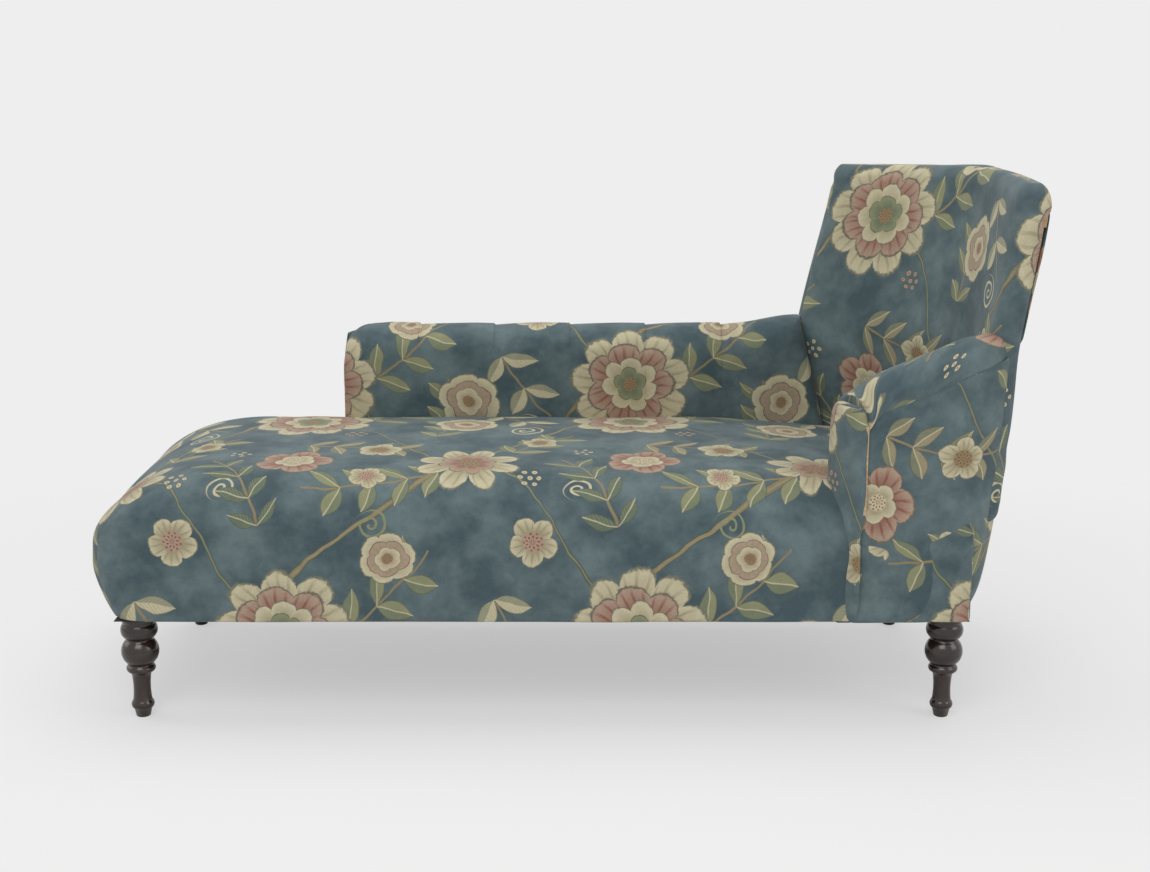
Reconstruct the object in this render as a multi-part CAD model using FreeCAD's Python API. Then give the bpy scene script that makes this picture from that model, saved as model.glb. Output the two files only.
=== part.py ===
import FreeCAD, Part
import math
import os
from FreeCAD import Vector

# Chaise longue with a low back along the far side, a tall tub back at the head end and one
# short rolled arm. X runs along its length with the head end at +X, the low back is at +Y,
# Z is up and the floor is z = 0. All sizes are millimetres.

# Overall sizes
overall_length = 1710.0
base_depth = 650.0
base_underside = 197.0
seat_crest = 455.0
low_back_top = 650.0
tall_back_top = 990.0

half_length = overall_length / 2
half_depth = base_depth / 2
foot_x = -half_length
head_x = half_length

# Clearances and skins
seat_gap = 0.3
rail_gap = 0.9
seat_side_gap = 1.0
bore_clearance = 0.15
cover_thickness = 6.0
panel_thickness = 6.0

# Frame timber
rail_thickness = 25.0
rail_height = 100.0
rail_bottom = base_underside + 2.0
rail_top = rail_bottom + rail_height
rail_inset = cover_thickness + rail_gap
rail_outer_y = half_depth - rail_inset
rail_inner_y = rail_outer_y - rail_thickness
block_height = 45.0
block_width = 68.0
block_length = 62.0
cross_rail_width = 45.0
cross_rail_height = 45.0
cross_rail_places = (foot_x + 585.0, head_x - 635.0)

# Legs
leg_foot_x = foot_x + 83.0
leg_head_x = head_x - 154.0
leg_y = half_depth - 62.0
leg_plate_radius = 30.0
bolt_radius = 4.0
bolt_engagement = 34.0
nut_height = 6.5
nut_across_corners = 15.0
washer_radius = 11.0
washer_thickness = 1.6
glide_radius = 9.0
glide_thickness = 3.8
glide_recess = 0.2
nail_radius = 1.4
nail_length = 10.0

# Seat springs and platform
spring_wire = 1.9
spring_width = 58.0
spring_loops = 12
spring_first_x = foot_x + 175.0
spring_last_x = head_x - 348.0
spring_count = 9
clip_thickness = 1.2
clip_width = 22.0
clip_depth = 14.0
tie_wire_radius = 1.5
tie_wire_places = (-100.0, 100.0)
platform_thickness = 1.5
platform_margin = 2.0
platform_foot_reach = 80.0
platform_head_reach = 140.0
tie_wire_reach = 30.0
dust_cover_thickness = 1.0

# Seat form
foot_fall_length = 240.0
foot_bulge_z = 330.0
foot_undercut = 40.0
foot_corner_radius = 70.0
seat_shoulder_z = 360.0
seat_shoulder_width = 95.0
seat_end_x = head_x - 95.0
seat_end_radius = 20.0

# Low back
low_back_left = foot_x + 405.0
low_back_right = head_x - 370.0
low_back_inner_y = half_depth - 100.0
low_back_panels = 6
low_back_fold_step = 3.0
low_back_end_radius = 60.0
low_back_roll_inner = 46.0
low_back_roll_outer = 34.0
low_back_middle_x = (low_back_left + low_back_right) / 2
low_back_post_places = (low_back_left + 18.0, low_back_middle_x, low_back_right - 19.0)
post_thickness = 24.0
post_width = 28.0
top_rail_height = 28.0
low_back_cover_over_frame = 20.0
frame_cover = 7.0
panel_cover = 1.0
webbing_thickness = 1.6
webbing_width = 50.0
webbing_places = (seat_crest - 65.0, seat_crest + 20.0, seat_crest + 105.0)

# Tall back
back_inner_x = head_x - 130.0
back_inner_top_x = head_x - 60.0
wing_front_top_x = head_x - 302.5
wing_inner_y = half_depth - 85.0
wing_inner_top_y = half_depth - 63.0
wing_angle = 22.0
wing_nose = 12.0
near_end_y = -half_depth + 40.0
back_pad = 26.0
back_end_pad = 14.0
crest_start_z = tall_back_top - 40.0
back_bend_z = low_back_top + 0.75 * (crest_start_z - low_back_top)
crest_half_width = 28.0
crest_rail_top = tall_back_top - 62.0
crest_rail_height = 28.0
stuffing_rail_bottom = seat_crest + 15.0
stuffing_rail_height = 30.0
near_corner_radius = 105.0
near_corner_radius_up = 120.0
far_corner_radius_top = 220.0
back_post_size = 20.0
hollow_corner = 8.0
back_post_width = 30.0
back_post_places = (-half_depth + 135.0, -40.0, half_depth - 235.0)
back_foot_z = low_back_top + 40.0

# Outer face of the head end: height, place in X and far corner radius
head_profile = (
    (base_underside, head_x - 110.0, near_corner_radius),
    (215.0, head_x - 96.0, 110.0),
    (240.0, head_x - 85.0, 115.0),
    (290.0, head_x - 75.0, near_corner_radius_up),
    (360.0, head_x - 65.0, 135.0),
    (seat_crest, head_x - 56.0, 150.0),
    (back_foot_z, head_x - 41.0, 190.0),
    (back_bend_z, head_x - 9.0, 215.0),
    (crest_start_z, head_x, far_corner_radius_top),
    (tall_back_top, head_x, far_corner_radius_top),
)

# Arm: the ridge of its roll is given by place in X and height
facing_x = head_x - 378.0
arm_inner_y = -half_depth + 112.0
arm_stem_back_y = -half_depth + 63.0
arm_roll_outer_y = -half_depth - 12.0
arm_roll_drop = 62.0
arm_ridge = (
    (facing_x + 9.0, low_back_top - 52.0),
    (facing_x + 58.0, low_back_top - 23.0),
    (facing_x + 103.0, low_back_top),
    (facing_x + 173.0, low_back_top + 25.0),
    (facing_x + 233.0, low_back_top + 54.0),
    (facing_x + 329.0, low_back_top + 72.0),
)
arm_corner_radius = 132.0
arm_seam_y = -half_depth + 120.0
arm_rail_height = 28.0
arm_rail_sink = 6.0
crease_gap = 4.0
rear_post_width = 26.0
arm_stem_end_x = head_x - 113.0
facing_inner = (facing_x, -half_depth + 87.0)
facing_outer = (facing_x + 43.0, -half_depth - 17.0)
facing_thickness = 20.0
facing_board_thickness = 6.0
facing_bulge = 5.0

# Facing outline: height, then the plan ends of its front on the seat side and on the outer side.
# Below the seat it is a narrow strip in front of the rail.
facing_strip = (
    (base_underside, (facing_x + 14.0, -half_depth - 0.5), (facing_x + 34.0, -half_depth - 6.0)),
    (300.0, (facing_x + 3.0, -half_depth - 0.5), (facing_x + 44.0, -half_depth - 10.0)),
    (seat_crest - 55.0, (facing_x + 1.0, -half_depth - 0.5), (facing_x + 46.0, -half_depth - 13.0)),
)
facing_panel = (
    (seat_crest - 55.0, 0.55, 1.0, 0.0),
    (seat_crest - 5.0, 0.0, 1.0, 0.0),
    (low_back_top - 90.0, 0.0, 1.0, 0.0),
    (low_back_top - 66.0, 0.04, 0.95, 2.0),
    (low_back_top - 56.0, 0.12, 0.84, 5.0),
)

# Joinery
dowel_radius = 5.0
dowel_length = 44.0
screw_radius = 2.4
screw_length = 46.0

os.makedirs("parts", exist_ok=True)
nodes = {}


def box(x0, x1, y0, y1, z0, z1):
    return Part.makeBox(x1 - x0, y1 - y0, z1 - z0, Vector(x0, y0, z0))


def cylinder(radius, height, place, direction=(0, 0, 1)):
    return Part.makeCylinder(radius, height, Vector(*place), Vector(*direction))


def line(a, b):
    return Part.LineSegment(Vector(*a), Vector(*b)).toShape()


def arc(a, b, c):
    return Part.Arc(Vector(*a), Vector(*b), Vector(*c)).toShape()


def prism(points, z0, z1):
    ring = [Vector(x, y, z0) for x, y in points]
    face = Part.Face(Part.makePolygon(ring + ring[:1]))
    return face.extrude(Vector(0, 0, z1 - z0))


def steps(start, end, count):
    return [start + (end - start) * i / (count - 1) for i in range(count)]


def along(table, place, column=1):
    """Straight-line reading of a table whose first column rises."""
    if place <= table[0][0]:
        return table[0][column]
    for low, high in zip(table, table[1:]):
        if place <= high[0]:
            share = (place - low[0]) / (high[0] - low[0])
            return low[column] + share * (high[column] - low[column])
    return table[-1][column]


def loft(wires, ruled=False):
    """Closed solid through level wires, turned so that its faces point outwards."""
    return Part.makeSolid(Part.Shell(Part.makeLoft(wires, True, ruled).Faces))


def rounded_section(x0, x1, y0, y1, z, left_radius, right_radius):
    """Rounded rectangle at one height, its left and right corners of different radius."""
    k = 1 - math.sqrt(0.5)
    rl = left_radius
    rr = right_radius
    return Part.Wire([
        line((x0 + rl, y0, z), (x1 - rr, y0, z)),
        arc((x1 - rr, y0, z), (x1 - rr * k, y0 + rr * k, z), (x1, y0 + rr, z)),
        line((x1, y0 + rr, z), (x1, y1 - rr, z)),
        arc((x1, y1 - rr, z), (x1 - rr * k, y1 - rr * k, z), (x1 - rr, y1, z)),
        line((x1 - rr, y1, z), (x0 + rl, y1, z)),
        arc((x0 + rl, y1, z), (x0 + rl * k, y1 - rl * k, z), (x0, y1 - rl, z)),
        line((x0, y1 - rl, z), (x0, y0 + rl, z)),
        arc((x0, y0 + rl, z), (x0 + rl * k, y0 + rl * k, z), (x0 + rl, y0, z)),
    ])


# Seat


def seat_form(inset):
    """Base and seat under their cover: upright sides, rounded shoulders and a long foot fall."""
    fall_height = seat_crest - foot_bulge_z
    shoulder_height = seat_crest - seat_shoulder_z
    heights = [base_underside, 240.0, 290.0, foot_bulge_z, seat_shoulder_z]
    heights += [seat_shoulder_z + (shoulder_height - inset) * s for s in (0.42, 0.72, 0.9, 0.99)]
    wires = []
    for z in heights:
        if z <= foot_bulge_z:
            fall = (foot_bulge_z - z) / (foot_bulge_z - base_underside)
            left = foot_x + inset + foot_undercut * fall ** 2
        else:
            rise = (z - foot_bulge_z) / (fall_height - inset)
            left = foot_x + foot_fall_length - (foot_fall_length - inset) * math.sqrt(1 - rise ** 2)
        side = half_depth - inset
        if z > seat_shoulder_z:
            rise = (z - seat_shoulder_z) / (shoulder_height - inset)
            drawn = seat_shoulder_width - inset
            side = half_depth - seat_shoulder_width + drawn * math.sqrt(1 - rise ** 2)
        wires.append(rounded_section(left, seat_end_x, -side, side, z, foot_corner_radius - inset,
                                     seat_end_radius))
    return loft(wires)


facing_run = Vector(facing_outer[0] - facing_inner[0], facing_outer[1] - facing_inner[1], 0)
facing_dir = Vector(facing_run)
facing_dir.normalize()
facing_back = Vector(-facing_dir.y, facing_dir.x, 0)


def facing_point(along_share, depth):
    base = Vector(facing_inner[0], facing_inner[1], 0)
    return base + facing_run * along_share + facing_back * depth


def head_zone(grow):
    """Plan of the arm and the tall back at seat height, which the seat stops against."""
    corner = Vector(facing_x - grow, facing_inner[1], 0)
    beyond = Vector(corner.x, -half_depth - 60.0, 0)
    inner_y = arm_inner_y + grow
    inner_x = back_inner_x - grow
    radius, centre_x, centre_y = inner_arc(low_back_right, back_inner_x, wing_inner_y)
    reach = radius - grow
    start = math.radians(90.0 - wing_angle)
    mid = start / 2
    far = half_depth + 60.0
    first = (centre_x + reach * math.cos(start), centre_y + reach * math.sin(start))
    middle = (centre_x + reach * math.cos(mid), centre_y + reach * math.sin(mid))
    z = base_underside - 10.0
    edges = [
        line((beyond.x, beyond.y, z), (corner.x, corner.y, z)),
        line((corner.x, corner.y, z), (corner.x, inner_y, z)),
        line((corner.x, inner_y, z), (inner_x, inner_y, z)),
        line((inner_x, inner_y, z), (inner_x, centre_y, z)),
        arc((inner_x, centre_y, z), (*middle, z), (*first, z)),
        line((*first, z), (low_back_right - grow, far, z)),
        line((low_back_right - grow, far, z), (head_x + 60.0, far, z)),
        line((head_x + 60.0, far, z), (head_x + 60.0, beyond.y, z)),
        line((head_x + 60.0, beyond.y, z), (beyond.x, beyond.y, z)),
    ]
    return Part.Face(Part.Wire(edges)).extrude(Vector(0, 0, tall_back_top))


def low_zone(grow):
    return box(low_back_left - grow, low_back_right + 90.0, low_back_inner_y - grow, half_depth + 60.0,
               base_underside - 10.0, tall_back_top)


def low_back_outline(inset):
    """Space inside the rounded foot end of the low back."""
    r = low_back_end_radius - inset
    x0 = low_back_left + inset
    z1 = low_back_top - inset
    k = r * (1 - math.sqrt(0.5))
    outline = Part.Wire([
        line((x0, 0, 0), (x0, 0, z1 - r)),
        arc((x0, 0, z1 - r), (x0 + k, 0, z1 - k), (x0 + r, 0, z1)),
        line((x0 + r, 0, z1), (head_x, 0, z1)),
        line((head_x, 0, z1), (head_x, 0, 0)),
        line((head_x, 0, 0), (x0, 0, 0)),
    ])
    return Part.Face(outline).extrude(Vector(0, half_depth + 50.0, 0))


# Tall back


def inner_arc(wing_x, inner_x, wing_y):
    """Radius and centre of the concave inner face, which leaves the wing at the wing angle."""
    lean = math.radians(wing_angle)
    radius = (inner_x - wing_x - wing_nose) / (1 - math.sin(lean))
    return radius, inner_x - radius, wing_y - radius * math.cos(lean)


def back_section(z, outer, inner, end, corner, nose):
    """One level of the curved back, drawn in at its outer face, inner face and ends."""
    lean_share = max(0.0, (z - seat_crest) / (crest_start_z - seat_crest))
    wing_share = max(0.0, (z - low_back_top) / (crest_start_z - low_back_top))
    inner_x = back_inner_x + (back_inner_top_x - back_inner_x) * lean_share
    wing_x = low_back_right + seat_gap + (wing_front_top_x - low_back_right) * wing_share
    wing_y = wing_inner_y + (wing_inner_top_y - wing_inner_y) * min(1.0, wing_share * 2)
    outer_x = along(head_profile, z)
    far_radius = along(head_profile, z, 2)
    radius, centre_x, centre_y = inner_arc(wing_x, inner_x, wing_y)
    reach = radius + inner
    wing = wing_x + wing_nose + end
    start = math.acos((wing - centre_x) / reach)
    first = (wing, centre_y + reach * math.sin(start), z)
    middle = (centre_x + reach * math.cos(start / 2), centre_y + reach * math.sin(start / 2), z)
    inside = (centre_x + reach, centre_y, z)
    far = half_depth - outer
    bend_x = outer_x - far_radius
    bend_y = half_depth - far_radius
    bend = far_radius - outer
    bend_mid = (bend_x + bend * math.sqrt(0.5), bend_y + bend * math.sqrt(0.5), z)
    outside = outer_x - outer
    near = near_end_y + end
    r = min(corner, 0.45 * (outside - inside[0]))
    k = r * (1 - math.sqrt(0.5))
    return Part.Wire([
        arc((wing, far, z), (wing - nose, (far + first[1]) / 2, z), first),
        arc(first, middle, inside),
        line(inside, (inside[0], near + r, z)),
        arc((inside[0], near + r, z), (inside[0] + k, near + k, z), (inside[0] + r, near, z)),
        line((inside[0] + r, near, z), (outside - r, near, z)),
        arc((outside - r, near, z), (outside - k, near + k, z), (outside, near + r, z)),
        line((outside, near + r, z), (outside, bend_y, z)),
        arc((outside, bend_y, z), bend_mid, (bend_x, far, z)),
        line((bend_x, far, z), (wing, far, z)),
    ])


def back_form(outer, inner, end, corner=28.0, crest=True):
    """The curved back from the base to its crest, or to where the crest starts."""
    nose = wing_nose * 0.8 if crest else 0.5
    wires = []
    levels = [row[0] for row in head_profile[:6]]
    levels += [low_back_top, low_back_top + 0.37 * (crest_start_z - low_back_top), back_bend_z, crest_start_z]
    for z in levels:
        wires.append(back_section(z, outer, inner, end, corner, nose))
    if crest:
        crest_height = tall_back_top - crest_start_z
        for share in (0.4, 0.7, 0.9, 0.995):
            drawn = crest_half_width * (1 - math.sqrt(1 - share ** 2))
            z = crest_start_z + crest_height * share
            wires.append(back_section(z, drawn, drawn, drawn, corner, nose))
    return loft(wires)


def leg_room():
    """Space of the leg tops, which reach a little way up inside the bottom edges."""
    room = None
    for x in (leg_foot_x, leg_head_x):
        for y in (-leg_y, leg_y):
            top = cylinder(leg_plate_radius + seat_gap, rail_bottom + seat_gap, (x, y, 0))
            room = top if room is None else room.fuse(top)
    return room


def slab(z0, z1):
    return box(foot_x - 50, head_x + 100, -half_depth - 100, half_depth + 100, z0, z1)


def behind_facing(gap):
    """Everything on the head end side of the slanted facing."""
    start = facing_point(-4.0, facing_thickness + gap)
    end = facing_point(2.0, facing_thickness + gap)
    points = [(start.x, start.y), (end.x, end.y), (head_x + 200.0, end.y), (head_x + 200.0, start.y)]
    return prism(points, 0.0, tall_back_top)


def arm_sheet():
    """Outside panel under the arm, along the near side and round the near corner."""
    wires = []
    x0 = facing_outer[0] - 20.0
    for z, x, _ in head_profile[:7]:
        radius = near_corner_radius_up if z > base_underside else near_corner_radius
        y0 = -half_depth
        t = panel_thickness
        cx = x - radius
        cy = y0 + radius
        k = math.sqrt(0.5)
        wires.append(Part.Wire([
            line((x0, y0, z), (cx, y0, z)),
            arc((cx, y0, z), (cx + radius * k, cy - radius * k, z), (x, cy, z)),
            line((x, cy, z), (x - t, cy, z)),
            arc((x - t, cy, z), (cx + (radius - t) * k, cy - (radius - t) * k, z), (cx, y0 + t, z)),
            line((cx, y0 + t, z), (x0, y0 + t, z)),
            line((x0, y0 + t, z), (x0, y0, z)),
        ]))
    return loft(wires)


# Timber frame


def slanted_box(low, high, z0, z1):
    """Timber with an upright section that moves from one rectangle to another."""
    wires = []
    for (x0, x1, y0, y1), z in ((low, z0), (high, z1)):
        ring = [Vector(x0, y0, z), Vector(x1, y0, z), Vector(x1, y1, z), Vector(x0, y1, z)]
        wires.append(Part.makePolygon(ring + ring[:1]))
    return loft(wires, True)


def build_frame():
    corner_x = foot_x + foot_undercut + foot_corner_radius
    rail_end_x = head_profile[0][1] - near_corner_radius
    foot_rail_x = foot_x + foot_undercut + rail_inset
    head_rail_x = head_profile[0][1] - rail_inset
    head_rail_top_x = along(head_profile, rail_top) - rail_inset
    frame = {}
    for name, side in (("seat_front_rail", -1), ("seat_back_rail", 1)):
        y0, y1 = sorted((side * rail_outer_y, side * rail_inner_y))
        frame[name] = box(corner_x, rail_end_x, y0, y1, rail_bottom, rail_top)
    end_reach = half_depth - foot_corner_radius
    frame["foot_end_rail"] = box(foot_rail_x, foot_rail_x + rail_thickness, -end_reach, end_reach,
                                 rail_bottom, rail_top)
    head_reach = half_depth - near_corner_radius - 2.0
    frame["head_end_rail"] = slanted_box(
        (head_rail_x - rail_thickness, head_rail_x, -head_reach, head_reach),
        (head_rail_top_x - rail_thickness, head_rail_top_x, -head_reach, head_reach),
        rail_bottom, rail_top)
    blocks = []
    for side in (-1, 1):
        y0, y1 = sorted((side * rail_inner_y, side * (rail_inner_y - block_width)))
        inner_foot = foot_rail_x + rail_thickness
        inner_head = head_rail_x - rail_thickness
        block_top = rail_bottom + block_height
        blocks.append(box(inner_foot, inner_foot + block_length, y0, y1, rail_bottom, block_top))
        blocks.append(box(inner_head - block_length, inner_head, y0, y1, rail_bottom, block_top))
    inside = Part.Face(base_outline(rail_bottom)).extrude(Vector(0, 0, block_height))
    frame["corner_blocks"] = Part.makeCompound([block.common(inside).Solids[0] for block in blocks])
    for name, x in zip(("cross_rail_foot", "cross_rail_head"), cross_rail_places):
        frame[name] = box(x - cross_rail_width / 2, x + cross_rail_width / 2, -rail_inner_y, rail_inner_y,
                          rail_bottom, rail_bottom + cross_rail_height)

    post_y1 = rail_outer_y - 0.5
    post_y0 = post_y1 - post_thickness
    post_top = low_back_top - low_back_cover_over_frame - top_rail_height
    names = ("low_back_post_foot", "low_back_post_middle", "low_back_post_head")
    for name, x in zip(names, low_back_post_places):
        frame[name] = box(x - post_width / 2, x + post_width / 2, post_y0, post_y1, rail_top, post_top)
    first = low_back_post_places[0] - post_width / 2
    last = low_back_post_places[-1] + post_width / 2
    frame["low_back_top_rail"] = box(first, last, post_y0, post_y1, post_top, post_top + top_rail_height)
    rounded = low_back_outline(frame_cover)
    for name in ("low_back_post_foot", "low_back_top_rail"):
        frame[name] = frame[name].common(rounded)

    region = back_form(panel_thickness + rail_gap, back_pad + rail_gap, back_end_pad + rail_gap,
                       hollow_corner, False)
    crest_bottom = crest_rail_top - crest_rail_height
    posts = []
    mid_z = back_foot_z
    levels = (rail_top, mid_z, crest_bottom)
    half = back_post_size / 2
    half_width = back_post_width / 2
    centres = []
    for z in levels:
        centres.append(along(head_profile, z) - panel_thickness - seat_gap - half - 1.0)
    centres[0] = head_rail_top_x - half - 1.0
    for y in back_post_places:
        sections = [(c - half, c + half, y - half_width, y + half_width) for c in centres]
        lower = slanted_box(sections[0], sections[1], levels[0], levels[1])
        upper = slanted_box(sections[1], sections[2], levels[1], levels[2])
        posts.append(lower.fuse(upper).removeSplitter())
    for name, post in zip(("tall_back_post_near", "tall_back_post_middle", "tall_back_post_far"), posts):
        frame[name] = post
    wing_low = low_back_right + wing_nose + back_end_pad + 8.0
    wing_high = wing_front_top_x + wing_nose + back_end_pad - 2.0
    wing = slanted_box((wing_low, wing_low + post_width, post_y0, post_y1),
                       (wing_high, wing_high + post_width, post_y0, post_y1), rail_top, crest_bottom)
    frame["wing_post"] = wing
    frame["crest_rail"] = region.common(slab(crest_bottom, crest_rail_top))
    stuffing = region.common(slab(stuffing_rail_bottom, stuffing_rail_bottom + stuffing_rail_height))
    beside_post = box(0, head_x + 50, -half_depth, back_post_places[0] - half_width, 0, tall_back_top)
    stuffing = stuffing.cut(beside_post)
    for post in posts + [wing]:
        stuffing = stuffing.cut(post)
    pieces = sorted(stuffing.Solids, key=lambda s: s.Volume)[-3:]
    frame["stuffing_rails"] = Part.makeCompound(pieces)

    arm_post_x = facing_point(1.0, facing_thickness).x + 4.0
    arm_rail_front = along(arm_ridge, arm_post_x) - arm_roll_drop
    rear_x = inner_head - block_length + 2.0
    arm_rail_end = rear_x + rear_post_width + 8.0
    arm_rail_rear = along(arm_ridge, arm_rail_end) - arm_roll_drop
    rail_y0 = -rail_outer_y + 2.0
    rail_y1 = arm_stem_back_y - seat_gap
    drop = Vector(0, 0, -arm_rail_height)
    ring = [Vector(arm_post_x, rail_y0, arm_rail_front - arm_rail_sink),
            Vector(arm_rail_end, rail_y0, arm_rail_rear - arm_rail_sink)]
    ring += [ring[1] + drop, ring[0] + drop]
    frame["arm_rail"] = Part.Face(Part.makePolygon(ring + ring[:1])).extrude(Vector(0, rail_y1 - rail_y0, 0))
    posts_y = (rail_y0, rail_y0 + post_thickness)
    front = box(arm_post_x, arm_post_x + post_width, *posts_y, rail_top, arm_rail_front + 60.0)
    rear = box(rear_x, rear_x + rear_post_width, -rail_inner_y + 0.5, -rail_inner_y + 0.5 + rear_post_width,
               rail_bottom + block_height, arm_rail_rear + 60.0)
    under = ring[3], ring[2]
    beyond = Vector(50.0, 0, 50.0 * (under[1].z - under[0].z) / (under[1].x - under[0].x))
    start = under[0] - beyond + Vector(0, -100.0, 0)
    end = under[1] + beyond + Vector(0, -100.0, 0)
    above = Vector(0, 0, tall_back_top)
    cutter = Part.Face(Part.makePolygon([start, end, end + above, start + above, start]))
    cutter = cutter.extrude(Vector(0, 300.0, 0))
    frame["arm_front_post"] = front.cut(cutter)
    frame["arm_rear_post"] = rear.cut(cutter)
    return frame


def base_outline(z):
    """Plan of the base inside its covers."""
    reach = half_depth - rail_inset
    start = foot_x + foot_undercut + rail_inset
    end = head_profile[0][1] - rail_inset
    return rounded_section(start, end, -reach, reach, z, foot_corner_radius - rail_inset,
                           near_corner_radius - rail_inset)


def build_dust_cover():
    """Thin cloth tacked under the rails, cut round the four legs."""
    z = rail_bottom - dust_cover_thickness
    sheet = Part.Face(base_outline(z)).extrude(Vector(0, 0, dust_cover_thickness))
    for x in (leg_foot_x, leg_head_x):
        for y in (-leg_y, leg_y):
            sheet = sheet.cut(cylinder(leg_plate_radius + seat_gap, 10, (x, y, z - 5)))
    nodes["dust_cover"] = sheet


def join_timber(frame):
    """Dowels in the cross rails and screws through the corner blocks, with their bores."""
    dowels = []
    screws = []
    for x in cross_rail_places:
        for side in (-1, 1):
            for dx in (-12.0, 12.0):
                start = side * rail_inner_y - dowel_length / 2
                dowels.append(((x + dx, start, rail_bottom + cross_rail_height / 2), (0, 1, 0)))
    for solid in frame["corner_blocks"].Solids:
        b = solid.BoundBox
        side = -1 if b.YMax < 0 else 1
        outer = b.YMin if side < 0 else b.YMax
        for dz in (12.0, 33.0):
            x = b.XMax - 12.0 if b.XMax < 0 else b.XMin + 12.0
            start_y = outer + (-side) * (screw_length - 18.0)
            screws.append(((x, start_y, rail_bottom + dz), (0, side, 0)))
    for places, radius, length, name in ((dowels, dowel_radius, dowel_length, "frame_dowels"),
                                         (screws, screw_radius, screw_length, "block_screws")):
        solids = [cylinder(radius, length, p, d) for p, d in places]
        bores = [cylinder(radius + bore_clearance, length, p, d) for p, d in places]
        frame[name] = Part.makeCompound(solids)
        tool = bores[0].fuse(bores[1:])
        for key in ("seat_front_rail", "seat_back_rail", "cross_rail_foot", "cross_rail_head",
                    "corner_blocks"):
            frame[key] = frame[key].cut(tool)


# Legs


def leg_outline():
    """Half outline of the turned leg, from the foot peg up to the top plate."""
    z1 = rail_bottom
    return [
        line((0, 0, 0), (13, 0, 0)),
        line((13, 0, 0), (16, 0, 16)),
        arc((16, 0, 16), (20.9, 0, 23.4), (18, 0, 31)),
        arc((18, 0, 31), (15.5, 0, 56), (18.2, 0, 84)),
        line((18.2, 0, 84), (22, 0, 87)),
        arc((22, 0, 87), (26.5, 0, 93.5), (22, 0, 100)),
        line((22, 0, 100), (23.5, 0, 103)),
        arc((23.5, 0, 103), (34.3, 0, 126), (23.5, 0, 149)),
        line((23.5, 0, 149), (24, 0, 151)),
        arc((24, 0, 151), (33.7, 0, 166), (28, 0, 182)),
        line((28, 0, 182), (leg_plate_radius, 0, 185)),
        line((leg_plate_radius, 0, 185), (leg_plate_radius, 0, z1)),
        line((leg_plate_radius, 0, z1), (0, 0, z1)),
        line((0, 0, z1), (0, 0, 0)),
    ]


def build_legs():
    face = Part.Face(Part.Wire(leg_outline()))
    turned = face.revolve(Vector(0, 0, 0), Vector(0, 0, 1), 360)
    bolt_low = rail_bottom - bolt_engagement
    bolt_top = rail_bottom + block_height + nut_height + washer_thickness + 4.0
    bore = cylinder(bolt_radius + bore_clearance, rail_bottom - bolt_low, (0, 0, bolt_low))
    recess = cylinder(glide_radius + bore_clearance, glide_recess + glide_thickness, (0, 0, 0))
    nail_top = glide_recess + glide_thickness + nail_length
    nail_hole = cylinder(nail_radius + bore_clearance, nail_top, (0, 0, 0))
    turned = turned.cut(bore).cut(recess).cut(nail_hole)
    bolt = cylinder(bolt_radius, bolt_top - bolt_low, (0, 0, bolt_low))
    nut_z = rail_bottom + block_height
    washer = cylinder(washer_radius, washer_thickness, (0, 0, nut_z))
    hexagon = [(nut_across_corners / 2 * math.cos(math.radians(60 * i)),
                nut_across_corners / 2 * math.sin(math.radians(60 * i))) for i in range(6)]
    nut = prism(hexagon, nut_z + washer_thickness, nut_z + washer_thickness + nut_height).fuse(washer)
    nut = nut.cut(cylinder(bolt_radius + bore_clearance, 60, (0, 0, nut_z - 10)))
    glide = cylinder(glide_radius, glide_thickness - bore_clearance, (0, 0, glide_recess))
    nail = cylinder(nail_radius, nail_top - glide_recess - bore_clearance, (0, 0, glide_recess))
    glide = glide.fuse(nail)
    bolts = []
    nuts = []
    glides = []
    bores = []
    for foot, x in (("foot", leg_foot_x), ("head", leg_head_x)):
        for side, y in (("near", -leg_y), ("far", leg_y)):
            place = Vector(x, y, 0)
            nodes["leg_" + side + "_" + foot] = turned.translated(place)
            bolts.append(bolt.translated(place))
            nuts.append(nut.translated(place))
            glides.append(glide.translated(place))
            bores.append(cylinder(bolt_radius + bore_clearance, block_height + 20, (x, y, rail_bottom - 10)))
    nodes["leg_bolts"] = Part.makeCompound(bolts)
    nodes["leg_nuts"] = Part.makeCompound(nuts)
    nodes["floor_glides"] = Part.makeCompound(glides)
    return bores


# Springs and platform


def spring_path(x, z):
    """Zigzag of straight bars and half turns from the front rail to the back rail."""
    reach = rail_inner_y + clip_depth * 0.55
    pitch = 2 * reach / spring_loops
    r = pitch / 2
    half = spring_width / 2 - r
    edges = []
    y = -reach
    side = 1
    edges.append(line((x - half, y, z), (x + half, y, z)))
    for i in range(spring_loops):
        bar_end = x + side * half
        edges.append(arc((bar_end, y, z), (bar_end + side * r, y + r, z), (bar_end, y + pitch, z)))
        y += pitch
        edges.append(line((bar_end, y, z), (x - side * half, y, z)))
        side = -side
    return Part.Wire(edges)


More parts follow.
